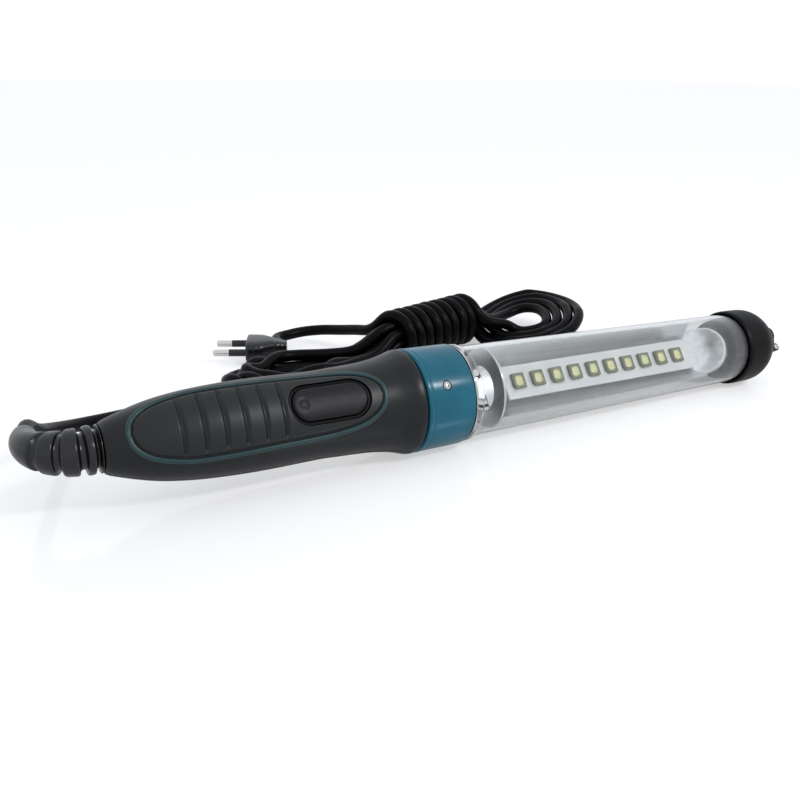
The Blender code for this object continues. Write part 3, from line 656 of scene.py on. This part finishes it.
def boot():
    """The strain relief: rings over a soft core, bent to the back, over the cord's way out."""
    profile = [(-6.6, 9.2), (-3.8, 9.2), (-3.6, 7.7), (0.0, 7.7), (0.2, 9.9), (0.9, 9.9),
               (1.2, 7.4), (2.5, 7.4), (2.9, 9.9), (5.8, 9.9), (6.2, 7.2), (8.0, 7.2),
               (8.4, 9.6), (13.0, 9.3), (13.4, 7.0), (15.2, 7.0), (15.6, 8.9), (20.4, 8.4),
               (20.8, 6.6), (22.6, 6.5), (23.0, 7.9), (28.0, 7.2), (33.0, 6.3), (38.0, 5.5),
               (43.0, 4.9), (44.4, 4.6), (45.0, 3.9)]
    chain = rounded(profile, 0.9, 4)
    dense = []
    for (s0, r0), (s1, r1) in zip(chain, chain[1:]):
        steps = max(1, round(math.hypot(s1 - s0, r1 - r0) / 1.1))
        dense += [(s0 + (s1 - s0) * k / steps, r0 + (r1 - r0) * k / steps) for k in range(steps)]
    dense.append(chain[-1])
    verts, count = [], 48
    for s, r in dense:
        here = boot_point(s)
        along = (boot_point(s + 0.4) - boot_point(s - 0.4)).normalized()
        side = along.cross(Vector((0, 0, 1))).normalized()
        over = side.cross(along)
        verts += [here + side * a + over * b for a, b in circle(r, count)]
    piece = put("strain_relief", verts, ring_faces(len(dense), count, False), LAMP,
                PAINTS["boot"])
    return ride(piece, "lamp", "cord", "cord_boot")


def plug():
    """Flat two-pin plug with a waisted body, finger ribs and half-sleeved pins."""
    face = Matrix.Translation(Vector(PLUG_FACE) * MM)
    matrix = LAMP @ face @ Matrix.Rotation(PLUG_HEADING, 4, "Z")
    stations = [(0.0, 12.4, 5.9), (-1.0, 13.1, 6.4), (-5.0, 13.0, 6.4), (-9.0, 12.0, 6.4),
                (-12.5, 9.6, 6.1), (-15.5, 7.4, 5.7), (-18.0, 6.1, 5.2), (-20.0, 5.4, 4.8),
                (-24.0, 4.0, 4.0)]
    line = smooth([Vector(s) for s in stations], 0.7)
    verts, count = [], 48
    for x, half, rise in line:
        rib = 0.32 * max(0.0, math.sin((x + 15.5) * 2.6)) if -23.0 < x < -16.0 else 0.0
        waist = 0.35 * max(0.0, math.sin((-x - 3.0) * 1.9)) if 3.0 < -x < 10.0 else 0.0
        for k in range(count):
            turn = 2 * math.pi * k / count
            c, s = math.cos(turn), math.sin(turn)
            side = math.copysign(abs(c) ** 0.55, c)
            over = math.copysign(abs(s) ** 0.55, s)
            verts.append((x, (half - rib - waist * abs(side)) * side, (rise - rib) * over))
    body = put("plug_shell", verts, ring_faces(len(line), count, False), matrix, PAINTS["boot"])
    ride(body, "lamp", "cord", "plug_body")
    pieces = [body]
    for i, side in enumerate((-1, 1), 1):
        place = matrix @ Matrix.Translation((0, side * 9.3 * MM, 0))
        pin = lathe(f"plug_pin_{i}_metal", rounded([(19.3, 0.0), (19.3, 1.5), (18.2, 2.0),
                    (0.4, 2.0), (0.4, 0.0)], 0.5), place, PAINTS["pins"], 32)
        sleeve = lathe(f"plug_pin_{i}_sleeve", [(10.0, 2.02), (9.8, 2.14), (0.1, 2.14),
                       (0.1, 2.02)], place, PAINTS["boot"], 32)
        ride(pin, "lamp", "pins", f"plug_pin_{i}")
        ride(sleeve, "lamp", "cord")
        pieces += [pin, sleeve]
    return pieces


# ---- handle ----------------------------------------------------------------------------------

HANDLE_LINE = ((-132, 10.6), (-125, 13), (-117, 15.4), (-109, 17.2), (-99, 18.6), (-89, 19.4),
               (-77, 19.9), (-64, 20), (-49, 19.7), (-40, 19.6), (-32, 19.9), (-24, 20.2),
               (-16, 20.7), (-8, 21.8), (-3, 23), (1, 24.2), (FLARE_FRONT, FLARE_RADIUS))
SKIN = [(p.x, p.y) for p in smooth([(x, r, 0) for x, r in HANDLE_LINE], 1.0)]
SKIN_X = [x for x, _ in SKIN]
SKIN_R = [r for _, r in SKIN]
GRIP_LINE = ((-124.5, 0), (-123, 5.4), (-118.8, 9.7), (-112, 12.8), (-100, 15.2), (-84, 15.8),
             (-68, 15.6), (-52, 15.2), (-38, 14.6), (-26, 13), (-18, 9.6), (-13.8, 4.8),
             (-12.8, 0))
TRIM_WIDTH, GRIP_PROUD = 2.2, 0.9
RIB_FIRST, RIB_PITCH, RIB_COUNT = -103.15, 8.4, 6
BUTTON_X, BUTTON_HALF, BUTTON_PROUD = -40.0, (17.2, 7.3), 1.2
BUTTON_HOLE_GROW = 1.9                          # for the ring round the button
HANDLE_SCREWS = ((-104.5, 0.0), (-63.5, 12.5), (-63.5, -12.5), (-12.5, 0.0))


def skin(x, y, rise=0.0):
    """The point over (x, y) that lies rise above the handle's surface."""
    radius = float(np.interp(x, SKIN_X, SKIN_R)) + rise
    return Vector((x, y, math.sqrt(max(radius * radius - y * y, 0.0))))


def grip_outline():
    upper = smooth([(x, y, 0) for x, y in GRIP_LINE], 1.2)
    half = [(p.x, max(p.y, 0.0)) for p in upper]
    return half + [(x, -y) for x, y in reversed(half[1:-1])]


def button_hole():
    return prism(stadium(*BUTTON_HALF, BUTTON_HOLE_GROW, BUTTON_X), 5.0, 40.0, HANDLE)


def handle_shells():
    wall, lip = 2.3, 3.0
    rear, front = HANDLE_LINE[0][0], HANDLE_LINE[-1][0]
    outer = [(front, 23.7), (front - 0.2, 24.2), (front - 0.8, FLARE_RADIUS - 0.1)]
    outer += [(x, r) for x, r in reversed(SKIN) if rear + 1.2 < x < front - 1.6]
    outer += [(rear + 0.5, 10.5), (rear, 9.9), (rear, 8.2)]
    inner = [(rear + lip, 8.2), (rear + lip, 9.6)]
    inner += [(x, r - wall) for x, r in SKIN if rear + lip < x < -4.0]
    inner += [(-2.2, 21.7), (front - 2, 21.9), (front - 2, 20.6), (front, 20.6)]
    for name, turn, node in (("front", -math.pi / 2, "handle_shell_front"),
                             ("back", math.pi / 2, "handle_shell_back")):
        seam = 0.012
        piece = lathe(f"handle_{name}", outer + inner, HANDLE, PAINTS["shell"], 144,
                      turn + seam / 2, math.pi - seam)
        edge = piece.modifiers.new("seam", "BEVEL")
        edge.width, edge.segments, edge.limit_method = 0.35 * MM, 2, "ANGLE"
        edge.angle_limit = math.radians(50)
        if name == "front":
            cut(piece, [button_hole()])
        else:
            tools = [prism([(x + a, y + b) for a, b in circle(3.4, 28)], -40.0, -11.3, HANDLE)
                     for x, y in HANDLE_SCREWS]
            cut(piece, tools)
        ride(piece, "lamp", "shell", node)


def handle_screws():
    for i, (x, y) in enumerate(HANDLE_SCREWS, 1):
        centre = HANDLE @ Matrix.Translation((x * MM, y * MM, 0))
        place = centre @ Matrix.Rotation(math.pi / 2, 4, "Y")
        head = rounded([(13.4, 0.0), (13.4, 2.2), (12.8, 2.95), (11.3, 3.0), (11.3, 1.45),
                        (-9.0, 1.45), (-10.0, 0.0)], 0.4)
        piece = lathe(f"handle_screw_{i}_steel", head, place, PAINTS["steel"], 32)
        recess = place @ Matrix.Rotation(math.pi / 2, 4, "Y")
        cut(piece, cross_recess((0, 0), 11.6, 14.0, 1.5, recess))
        ride(piece, "lamp", "steel", f"handle_screw_{i}")


def trim():
    """The teal bead that lines the soft inlay."""
    outline = grip_outline()
    middle = offset(outline, TRIM_WIDTH / 2)
    path = [skin(x, y) for x, y in middle]
    ups = [Vector((0, p.y, p.z)) for p in path]
    half = TRIM_WIDTH / 2
    section = rounded([(-half, -0.8), (half, -0.8), (half, 0.45), (0.4 * half, 0.8),
                       (-0.4 * half, 0.8), (-half, 0.45)], 0.35, 3, True)
    piece = swept("grip_line", path, section, HANDLE, PAINTS["trim"], closed=True, ups=ups)
    ride(piece, "lamp", "trim", "grip_trim")


def offset(outline, distance):
    """The outline moved inwards, for a closed outline that runs clockwise."""
    out = []
    for i, here in enumerate(outline):
        before, after = Vector(outline[i - 1]), Vector(outline[(i + 1) % len(outline)])
        along = (after - before).normalized()
        out.append((here[0] + along.y * distance, here[1] - along.x * distance))
    return out


def grip():
    """The soft inlay: a crowned skin with rounded edges and a row of finger grooves."""
    outline = np.array(offset(grip_outline(), TRIM_WIDTH + 0.15))
    upper = outline[outline[:, 1] >= -0.01]
    upper = upper[np.argsort(upper[:, 0])]
    left, right = upper[0, 0], upper[-1, 0]
    rows, columns = 300, 46
    ring = np.array(smooth([(x, y, 0) for x, y in outline], 0.5, True))[:, :2]

    def rise(x, y):
        edge = np.hypot(ring[:, 0] - x, ring[:, 1] - y).min()
        height = GRIP_PROUD
        if edge < 1.1:
            height = GRIP_PROUD - 1.3 * (1 - edge / 1.1) ** 2
        for k in range(RIB_COUNT):
            middle = RIB_FIRST + k * RIB_PITCH
            away = abs(x - middle)
            if away < 1.5 and abs(y) < 12.6:
                fade = min(1.0, (12.6 - abs(y)) / 1.6)
                height -= 0.95 * fade * 0.5 * (1 + math.cos(math.pi * away / 1.5))
        return height

    top, bottom = [], []
    for i in range(rows + 1):
        t = (1 - math.cos(math.pi * i / rows)) / 2 * 0.15 + (i / rows) * 0.85
        x = left + (right - left) * t
        half = float(np.interp(x, upper[:, 0], upper[:, 1]))
        for j in range(columns + 1):
            y = half * math.sin(math.pi / 2 * (2 * j / columns - 1)) * 0.35
            y += half * (2 * j / columns - 1) * 0.65
            top.append(skin(x, y, rise(x, y)))
            bottom.append(skin(x, y, -0.6))
    across = columns + 1
    faces = []
    total = len(top)
    for i in range(rows):
        for j in range(columns):
            a = i * across + j
            faces.append((a, a + across, a + across + 1, a + 1))
            faces.append((total + a, total + a + 1, total + a + across + 1, total + a + across))
    for j in (0, columns):
        for i in range(rows):
            a, b = i * across + j, (i + 1) * across + j
            faces.append((a, b, total + b, total + a))
    piece = put("grip_inlay", top + bottom, faces, HANDLE, PAINTS["grip"], 50)
    cut(piece, [button_hole()])
    ride(piece, "lamp", "grip", "grip_pad")


def button():
    """The push button, crowned like the handle, and the soft ring round it."""
    place = HANDLE @ Matrix.Translation((BUTTON_X * MM, 0, 0))

    def top(x, y, drop):
        away = math.hypot(x + 12.6, y * 0.9)
        groove = 0.32 * math.exp(-((away - 1.9) / 0.55) ** 2) if away < 4 else 0.0
        return (x, y, skin(x + BUTTON_X, y, BUTTON_PROUD - drop - groove).z)

    rings = [[(x, y, 13.6) for x, y in stadium(*BUTTON_HALF)]]
    steps = [(0.0, 1.0), (0.12, 0.6), (0.4, 0.25), (0.85, 0.05)]
    steps += [(1.4 + 0.45 * k, 0.0) for k in range(16)] + [(BUTTON_HALF[1] - 0.01, 0.0)]
    for inset, drop in steps:
        rings.append([top(x, y, drop) for x, y in stadium(*BUTTON_HALF, -inset)])
    verts = [v for ring in rings for v in ring]
    piece = put("button_cap", verts, ring_faces(len(rings), len(rings[0]), False), place,
                PAINTS["button"], 40)
    ride(piece, "button", "button", "button")
    bezel = []
    for grow, rise in ((0.3, -3.0), (0.3, -0.35), (0.55, -0.05), (1.35, 0.0), (1.7, -0.3),
                       (1.7, -3.0)):
        bezel.append([tuple(skin(x, y, rise)) for x, y in stadium(*BUTTON_HALF, grow, BUTTON_X)])
    verts = [v for ring in bezel for v in ring]
    ring = put("button_seal", verts, ring_faces(len(bezel), len(bezel[0])), HANDLE,
               PAINTS["bezel"])
    ride(ring, "lamp", "grip", "button_bezel")


# ---- light tube ------------------------------------------------------------------------------

COLLAR, COLLAR_RADII, COLLAR_BORE = (5.0, 30.0), (24.4, 24.0), 22.4
TUBE_START, TUBE_END, TUBE_RADII, TUBE_WALL = 7.0, 227.0, (21.9, 19.0), 1.7
PLATE, SCOOP = (47.6, 49.0), (188.0, 204.8)
BOARD, BOARD_WIDTH, BOARD_TOP = (61.0, 186.5), 17.0, 1.2
LED_FIRST, LED_PITCH, LED_COUNT, LED_SIZE = 68.6, 11.85, 10, (7.2, 7.8, 1.8)
SCREW_X, SCREW_ANGLE = 15.5, math.radians(-5.0)
HOOK_PIN, HOOK_BEND, CAP_END = (252.0, -5.6), 4.2, 246.2


def tube_radius(x):
    share = (x - 36.0) / (TUBE_END - 36.0)
    return TUBE_RADII[0] + (TUBE_RADII[1] - TUBE_RADII[0]) * max(0.0, share)


def collar():
    low, high = COLLAR
    big, small = COLLAR_RADII
    profile = rounded([(high, COLLAR_BORE), (high, small - 0.7), (high - 0.7, small),
                       (low + 3.2, big - 0.15), (low + 2.9, big - 0.35), (low + 2.4, big - 0.35),
                       (low + 2.1, big), (low + 0.7, big), (low, big - 0.7),
                       (low, COLLAR_BORE)], 0.5)
    band = lathe("collar_band", profile, TUBE, PAINTS["collar"], 144)
    place = TUBE @ Matrix.Translation((SCREW_X * MM, 0, 0)) @ Matrix.Rotation(-SCREW_ANGLE, 4, "X")
    cut(band, [prism(circle(2.3, 32), 15.0, 40.0, place)])
    ride(band, "lamp", "collar", "lock_collar")
    turned = place @ Matrix.Rotation(-math.pi / 2, 4, "Y")
    head = rounded([(24.9, 0.0), (24.75, 1.1), (24.3, 1.8), (23.9, 2.0), (22.3, 2.0), (22.3, 0.0)],
                   0.25)
    screw = lathe("collar_screw_head", head, turned, PAINTS["steel"], 40)
    cut(screw, cross_recess((0, 0), 23.8, 25.5, 1.3, place @ Matrix.Rotation(0.4, 4, "Z")))
    ride(screw, "lamp", "steel", "collar_screw")


def lens_tube():
    rim = (COLLAR[1] + 2 * GAP, 34.6)
    outer = [(TUBE_END, tube_radius(TUBE_END)), (36.2, TUBE_RADII[0]), (34.9, TUBE_RADII[0]),
             (rim[1], 22.9), (rim[1] - 0.5, 23.4), (rim[0] + 0.4, 23.4), (rim[0], 23.0),
             (rim[0], TUBE_RADII[0]), (TUBE_START, TUBE_RADII[0])]
    inner = [(x, tube_radius(x) - TUBE_WALL) for x in (TUBE_START, 36.0, TUBE_END)]
    piece = lathe("clear_tube", rounded(outer, 0.5, 3) + inner, TUBE, PAINTS["clear"], 144)
    ride(piece, "lamp", "clear", "lens_tube")


def reflector():
    """The bright trough: wings that curve up on both sides of the board, and its end plate."""
    def section(x, tip, rise):
        face, back = [], []
        steps = 14
        for k in range(steps + 1):
            t = k / steps
            y = 9.0 + (tip - 9.0) * t
            z = -0.8 + (rise + 0.8) * t ** 1.35
            face.append((y, z))
            back.append((y + 0.35, z - 0.75))
        half = face + list(reversed(back))
        return ([(x, y, z) for y, z in half] + [(x, -y, z) for y, z in reversed(half)])
    first, last = PLATE[1] + 0.6, BOARD[1] + 0.5
    verts, xs = [], [first + (last - first) * k / 24 for k in range(25)]
    for x in xs:
        t = (x - xs[0]) / (xs[-1] - xs[0])
        verts += section(x, 17.2 - 2.2 * t, 9.2 - 1.0 * t)
    count = len(section(0, 17, 9))
    trough = put("reflector_wings", verts, ring_faces(len(xs), count, False), TUBE,
                 PAINTS["mirror"])
    ride(trough, "lamp", "mirror", "reflector_trough")
    near, far = PLATE
    plate = lathe("reflector_end", rounded([(far, 11.0), (far, 19.6), (near, 19.6), (near, 11.0)],
                                           0.3, 3), TUBE, PAINTS["mirror"], 96)
    ride(plate, "lamp", "mirror", "reflector_plate")


def scoop():
    """A cup cut at a slant, whose hollow face throws light back along the board."""
    slope, radius = math.radians(52.0), 13.2
    near, far = SCOOP
    body = lathe("reflector_cup", rounded([(far, 0.0), (far, radius), (near, radius),
                 (near, 0.0)], 0.4, 3), TUBE, PAINTS["scoop"], 96)
    ramp = (TUBE @ Matrix.Translation(((near + 1.0) * MM, 0, -2.5 * MM))
            @ Matrix.Rotation(-slope, 4, "Y"))
    slab = prism([(-60, -30), (80, -30), (80, 30), (-60, 30)], 0.0, 60.0, ramp)
    bowl = []
    rings, sides = 14, 64
    for i in range(rings + 1):
        t = i / rings
        depth = 4.2 * (1 - t * t)
        bowl += [(6.0 + 13.0 * t * math.cos(2 * math.pi * k / sides),
                  12.3 * t * math.sin(2 * math.pi * k / sides), -depth) for k in range(sides)]
    lid = len(bowl)
    bowl += [(6.0 + 13.0 * math.cos(2 * math.pi * k / sides),
              12.3 * math.sin(2 * math.pi * k / sides), 3.0) for k in range(sides)]
    faces = ring_faces(rings + 2, sides, False, False)
    faces.append(tuple(range(lid, lid + sides)))
    hollow = put("tool", bowl, faces, ramp, None)
    cut(body, [slab, hollow])
    ride(body, "lamp", "mirror", "reflector_scoop")


def light_board():
    start, end = BOARD
    half = BOARD_WIDTH / 2
    outline = rounded([(start, -half), (end, -half), (end, half), (start, half)], 0.8, 4, True)
    verts = [(x, y, z) for z in (BOARD_TOP - 1.6, BOARD_TOP) for x, y in outline]
    board = put("led_strip", verts, ring_faces(2, len(outline), False), TUBE,
                PAINTS["board_white"])
    edge = board.modifiers.new("edge", "BEVEL")
    edge.width, edge.segments, edge.limit_method = 0.15 * MM, 2, "ANGLE"
    ride(board, "lamp", "board_white", "led_board")
    for i in range(LED_COUNT):
        led(i + 1, LED_FIRST + i * LED_PITCH)


def led(number, x):
    """A surface-mounted LED: a frame with a notch and a dished well of phosphor."""
    length, width, height = LED_SIZE
    low, high = BOARD_TOP + 0.05, BOARD_TOP + 0.3 + height
    place = TUBE @ Matrix.Translation((x * MM, 0, 0))
    a, b = length / 2, width / 2
    outline = rounded([(-a, -b + 1.3), (-a + 1.3, -b), (a, -b), (a, b), (-a, b)], 0.35, 3, True)
    sides = len(outline)
    verts, slots = [], []
    turns = [math.atan2(y, x_) for x_, y in outline]

    def around(rx, ry, z):
        return [(rx * math.cos(t), ry * math.sin(t), z) for t in turns]

    rings = [[(x_, y, low) for x_, y in outline], [(x_, y, high - 0.25) for x_, y in outline],
             [(x_ * 0.95, y * 0.95, high) for x_, y in outline], around(a * 0.80, b * 0.80, high),
             around(a * 0.66, b * 0.68, high - 0.55), around(a * 0.60, b * 0.62, high - 0.5),
             around(a * 0.45, b * 0.46, high - 0.36), around(a * 0.22, b * 0.22, high - 0.28),
             around(0.01, 0.01, high - 0.26)]
    for ring in rings:
        verts += ring
    faces = ring_faces(len(rings), sides, False)
    piece = put(f"led_chip_{number:02d}", verts, faces, place,
                [PAINTS["led_frame"], PAINTS["led"]], 40)
    for face in piece.data.polygons:
        middle = face.center / MM
        inside = math.hypot(middle.x / a, middle.y / b) < 0.64 and middle.z > low + 0.2
        face.material_index = 1 if inside else 0
    ride(piece, "lamp", "led", f"led_{number:02d}")


def end_cap():
    profile = [(245.6, 8.0), (243.6, 10.2), (240.3, 13.6), (236.5, 16.8), (232.5, 19.2),
               (228.0, 20.5), (219.0, 20.8), (216.0, 20.8)]
    curve = smooth([(x, r, 0) for x, r in profile], 0.8)
    outer = [(CAP_END, 0.0), (CAP_END, 6.5)] + [(p.x, p.y) for p in curve]
    outer += [(214.8, 20.7), (214.2, 20.3), (214.0, 19.6)]
    inner = [(227.6, 19.4), (227.6, 17.2), (233.0, 15.6), (239.0, 11.0), (242.0, 5.0),
             (242.0, 0.0)]
    piece = lathe("rubber_cap", outer + inner, TUBE, PAINTS["cap"], 128)
    ride(piece, "lamp", "grip", "end_cap")
    inner_plug = rounded([(226.8, 0.0), (226.8, 16.6), (222.0, 16.6), (221.6, 16.1),
                          (220.8, 16.1), (220.4, 16.6), (205.4, 16.6), (205.4, 0.0)], 0.35, 3)
    ride(lathe("tube_plug", inner_plug, TUBE, PAINTS["plug_inner"], 96), "lamp", "dark",
         "end_plug")


def hook():
    """The swivel with its two ears and the folding hook between them."""
    seat = CAP_END + GAP
    base = lathe("swivel_base", rounded([(seat + 2.6, 0.0), (seat + 2.6, 7.0), (seat + 1.8, 7.9),
                 (seat, 8.0), (seat, 0.0)], 0.5, 3), TUBE, PAINTS["dark"], 64)
    pin_x, pin_y = HOOK_PIN
    tools = []
    for side in (-1, 1):
        ear = [(pin_x + 2.3 * math.cos(a), pin_y + 2.3 * math.sin(a))
               for a in (math.pi / 2 - math.pi * k / 16 for k in range(17))]
        ear += [(seat + 1.5, pin_y - 2.3), (seat + 1.5, pin_y + 2.3)]
        z = side * 3.0
        tools.append(prism(ear, z - 0.9, z + 0.9, TUBE))
    cut(base, tools, "UNION")
    ride(base, "hook_swivel", "dark", "hook_swivel")
    pivot = TUBE @ Matrix.Translation((pin_x * MM, pin_y * MM, 0))
    sideways = pivot @ Matrix.Rotation(-math.pi / 2, 4, "Y")
    pin = lathe("swivel_pin", rounded([(4.3, 0.0), (4.3, 1.5), (4.0, 1.6), (3.95, 0.9),
                (-3.95, 0.9), (-4.0, 1.6), (-4.3, 1.5), (-4.3, 0.0)], 0.1, 2), sideways,
                PAINTS["steel"], 32)
    ride(pin, "hook_swivel", "steel", "hook_pin")
    arm = [Vector((0, 1.0, 0)), Vector((0, 2.5, 0)), Vector((0, 4.0, 0))]
    arm += [Vector((0, 4.0 + HOOK_BEND * (1 - math.cos(a)), HOOK_BEND * math.sin(a)))
            for a in (math.radians(10 + 9 * k) for k in range(24))]
    last = arm[-1] - arm[-2]
    arm += [arm[-1] + last.normalized() * s for s in (0.5, 0.9, 1.2)]
    scale = [1.0] * (len(arm) - 3) + [0.93, 0.72, 0.35]
    wire = swept("hook_arm", arm, circle(1.4, 24), pivot, PAINTS["dark"], up=(1, 0, 0),
                 scale=scale)
    eye = put("tool", [(2.1 * math.cos(a), 2.1 * math.sin(a), z) for z in (-1.7, 1.7)
                       for a in (2 * math.pi * k / 32 for k in range(32))],
              ring_faces(2, 32, False), pivot, None)
    cut(wire, [eye], "UNION")
    cut(wire, [prism(circle(1.2, 24), -9.0, 9.0, pivot)])
    wire.name = "hanging_hook"
    ride(wire, "hook", "dark", "hook")


# ---- stage -----------------------------------------------------------------------------------

WHITE = (1.0, 1.0, 1.0, 1.0)
FLOOR_TONE, SURROUND_TONE = (0.55, 0.55, 0.56, 1.0), (0.93, 0.96, 1.0, 1.0)
# The floor's own light, on the lamp and as the camera sees it
FLOOR_GLOW, FLOOR_GLOW_SEEN = 0.20, 0.53


def floor():
    """A polished white table, brighter for the camera, with a soft shadow and a faint mirror."""
    mesh = bpy.data.meshes.new("floor")
    size = 6.0
    mesh.from_pydata([(-size, -size, 0), (size, -size, 0), (size, size, 0), (-size, size, 0)],
                     [], [(0, 1, 2, 3)])
    sheet = linked("floor", mesh)
    sheet.location.z = -0.0002
    paint = bpy.data.materials.new("floor")
    paint.use_nodes = True
    tree = paint.node_tree
    nodes, links = tree.nodes, tree.links
    nodes.remove(nodes["Principled BSDF"])
    matt = shader_node(tree, "ShaderNodeBsdfDiffuse", Color=FLOOR_TONE)
    glow = shader_node(tree, "ShaderNodeEmission", Color=WHITE)
    rays = shader_node(tree, "ShaderNodeLightPath")
    strength = shader_node(tree, "ShaderNodeMapRange", To_Min=FLOOR_GLOW,
                           To_Max=FLOOR_GLOW_SEEN)
    links.new(rays.outputs["Is Camera Ray"], strength.inputs["Value"])
    links.new(strength.outputs["Result"], glow.inputs["Strength"])
    both = shader_node(tree, "ShaderNodeAddShader")
    links.new(matt.outputs["BSDF"], both.inputs[0])
    links.new(glow.outputs["Emission"], both.inputs[1])
    mirror = shader_node(tree, "ShaderNodeBsdfGlossy", Roughness=0.12)
    top = shader_node(tree, "ShaderNodeMixShader", Fac=0.09)
    links.new(both.outputs["Shader"], top.inputs[1])
    links.new(mirror.outputs["BSDF"], top.inputs[2])
    links.new(top.outputs["Shader"], nodes["Material Output"].inputs["Surface"])
    mesh.materials.append(paint)


def softbox():
    """A narrow strip light in front of the lamp and above it."""
    lamp = bpy.data.lights.new("strip", "AREA")
    lamp.shape = "RECTANGLE"
    lamp.size, lamp.size_y = 0.36, 0.10
    lamp.energy = 4.0
    thing = linked("strip", lamp)
    thing.location = (0.37, -0.62, 0.66)
    thing.rotation_euler = (math.radians(43.0), 0, 0)


def light():
    world = bpy.data.worlds.new("studio")
    bpy.context.scene.world = world
    world.use_nodes = True
    tree = world.node_tree
    nodes, links = tree.nodes, tree.links
    surround = nodes["Background"]
    surround.inputs["Color"].default_value = SURROUND_TONE
    surround.inputs["Strength"].default_value = 0.90
    backdrop = shader_node(tree, "ShaderNodeBackground", Color=WHITE, Strength=1.1)
    rays = shader_node(tree, "ShaderNodeLightPath")
    choice = shader_node(tree, "ShaderNodeMixShader")
    links.new(rays.outputs["Is Camera Ray"], choice.inputs["Fac"])
    links.new(surround.outputs["Background"], choice.inputs[1])
    links.new(backdrop.outputs["Background"], choice.inputs[2])
    links.new(choice.outputs["Shader"], nodes["World Output"].inputs["Surface"])
    softbox()
    bpy.context.scene.view_settings.view_transform = "Standard"


# ---- assembly --------------------------------------------------------------------------------

camera()
PAINTS = materials()
flex, flex_length = cord()
relief = boot()
plug_pieces = plug()
handle_shells()
handle_screws()
trim()
grip()
button()
collar()
lens_tube()
reflector()
scoop()
light_board()
end_cap()
hook()

for subpart in frame["record"]["subparts"]:
    node = frame["nodes"][subpart["node"]]
    node.data.materials.clear()
    node.data.materials.append(PAINTS[subpart["material_slot"]])

floor()
light()
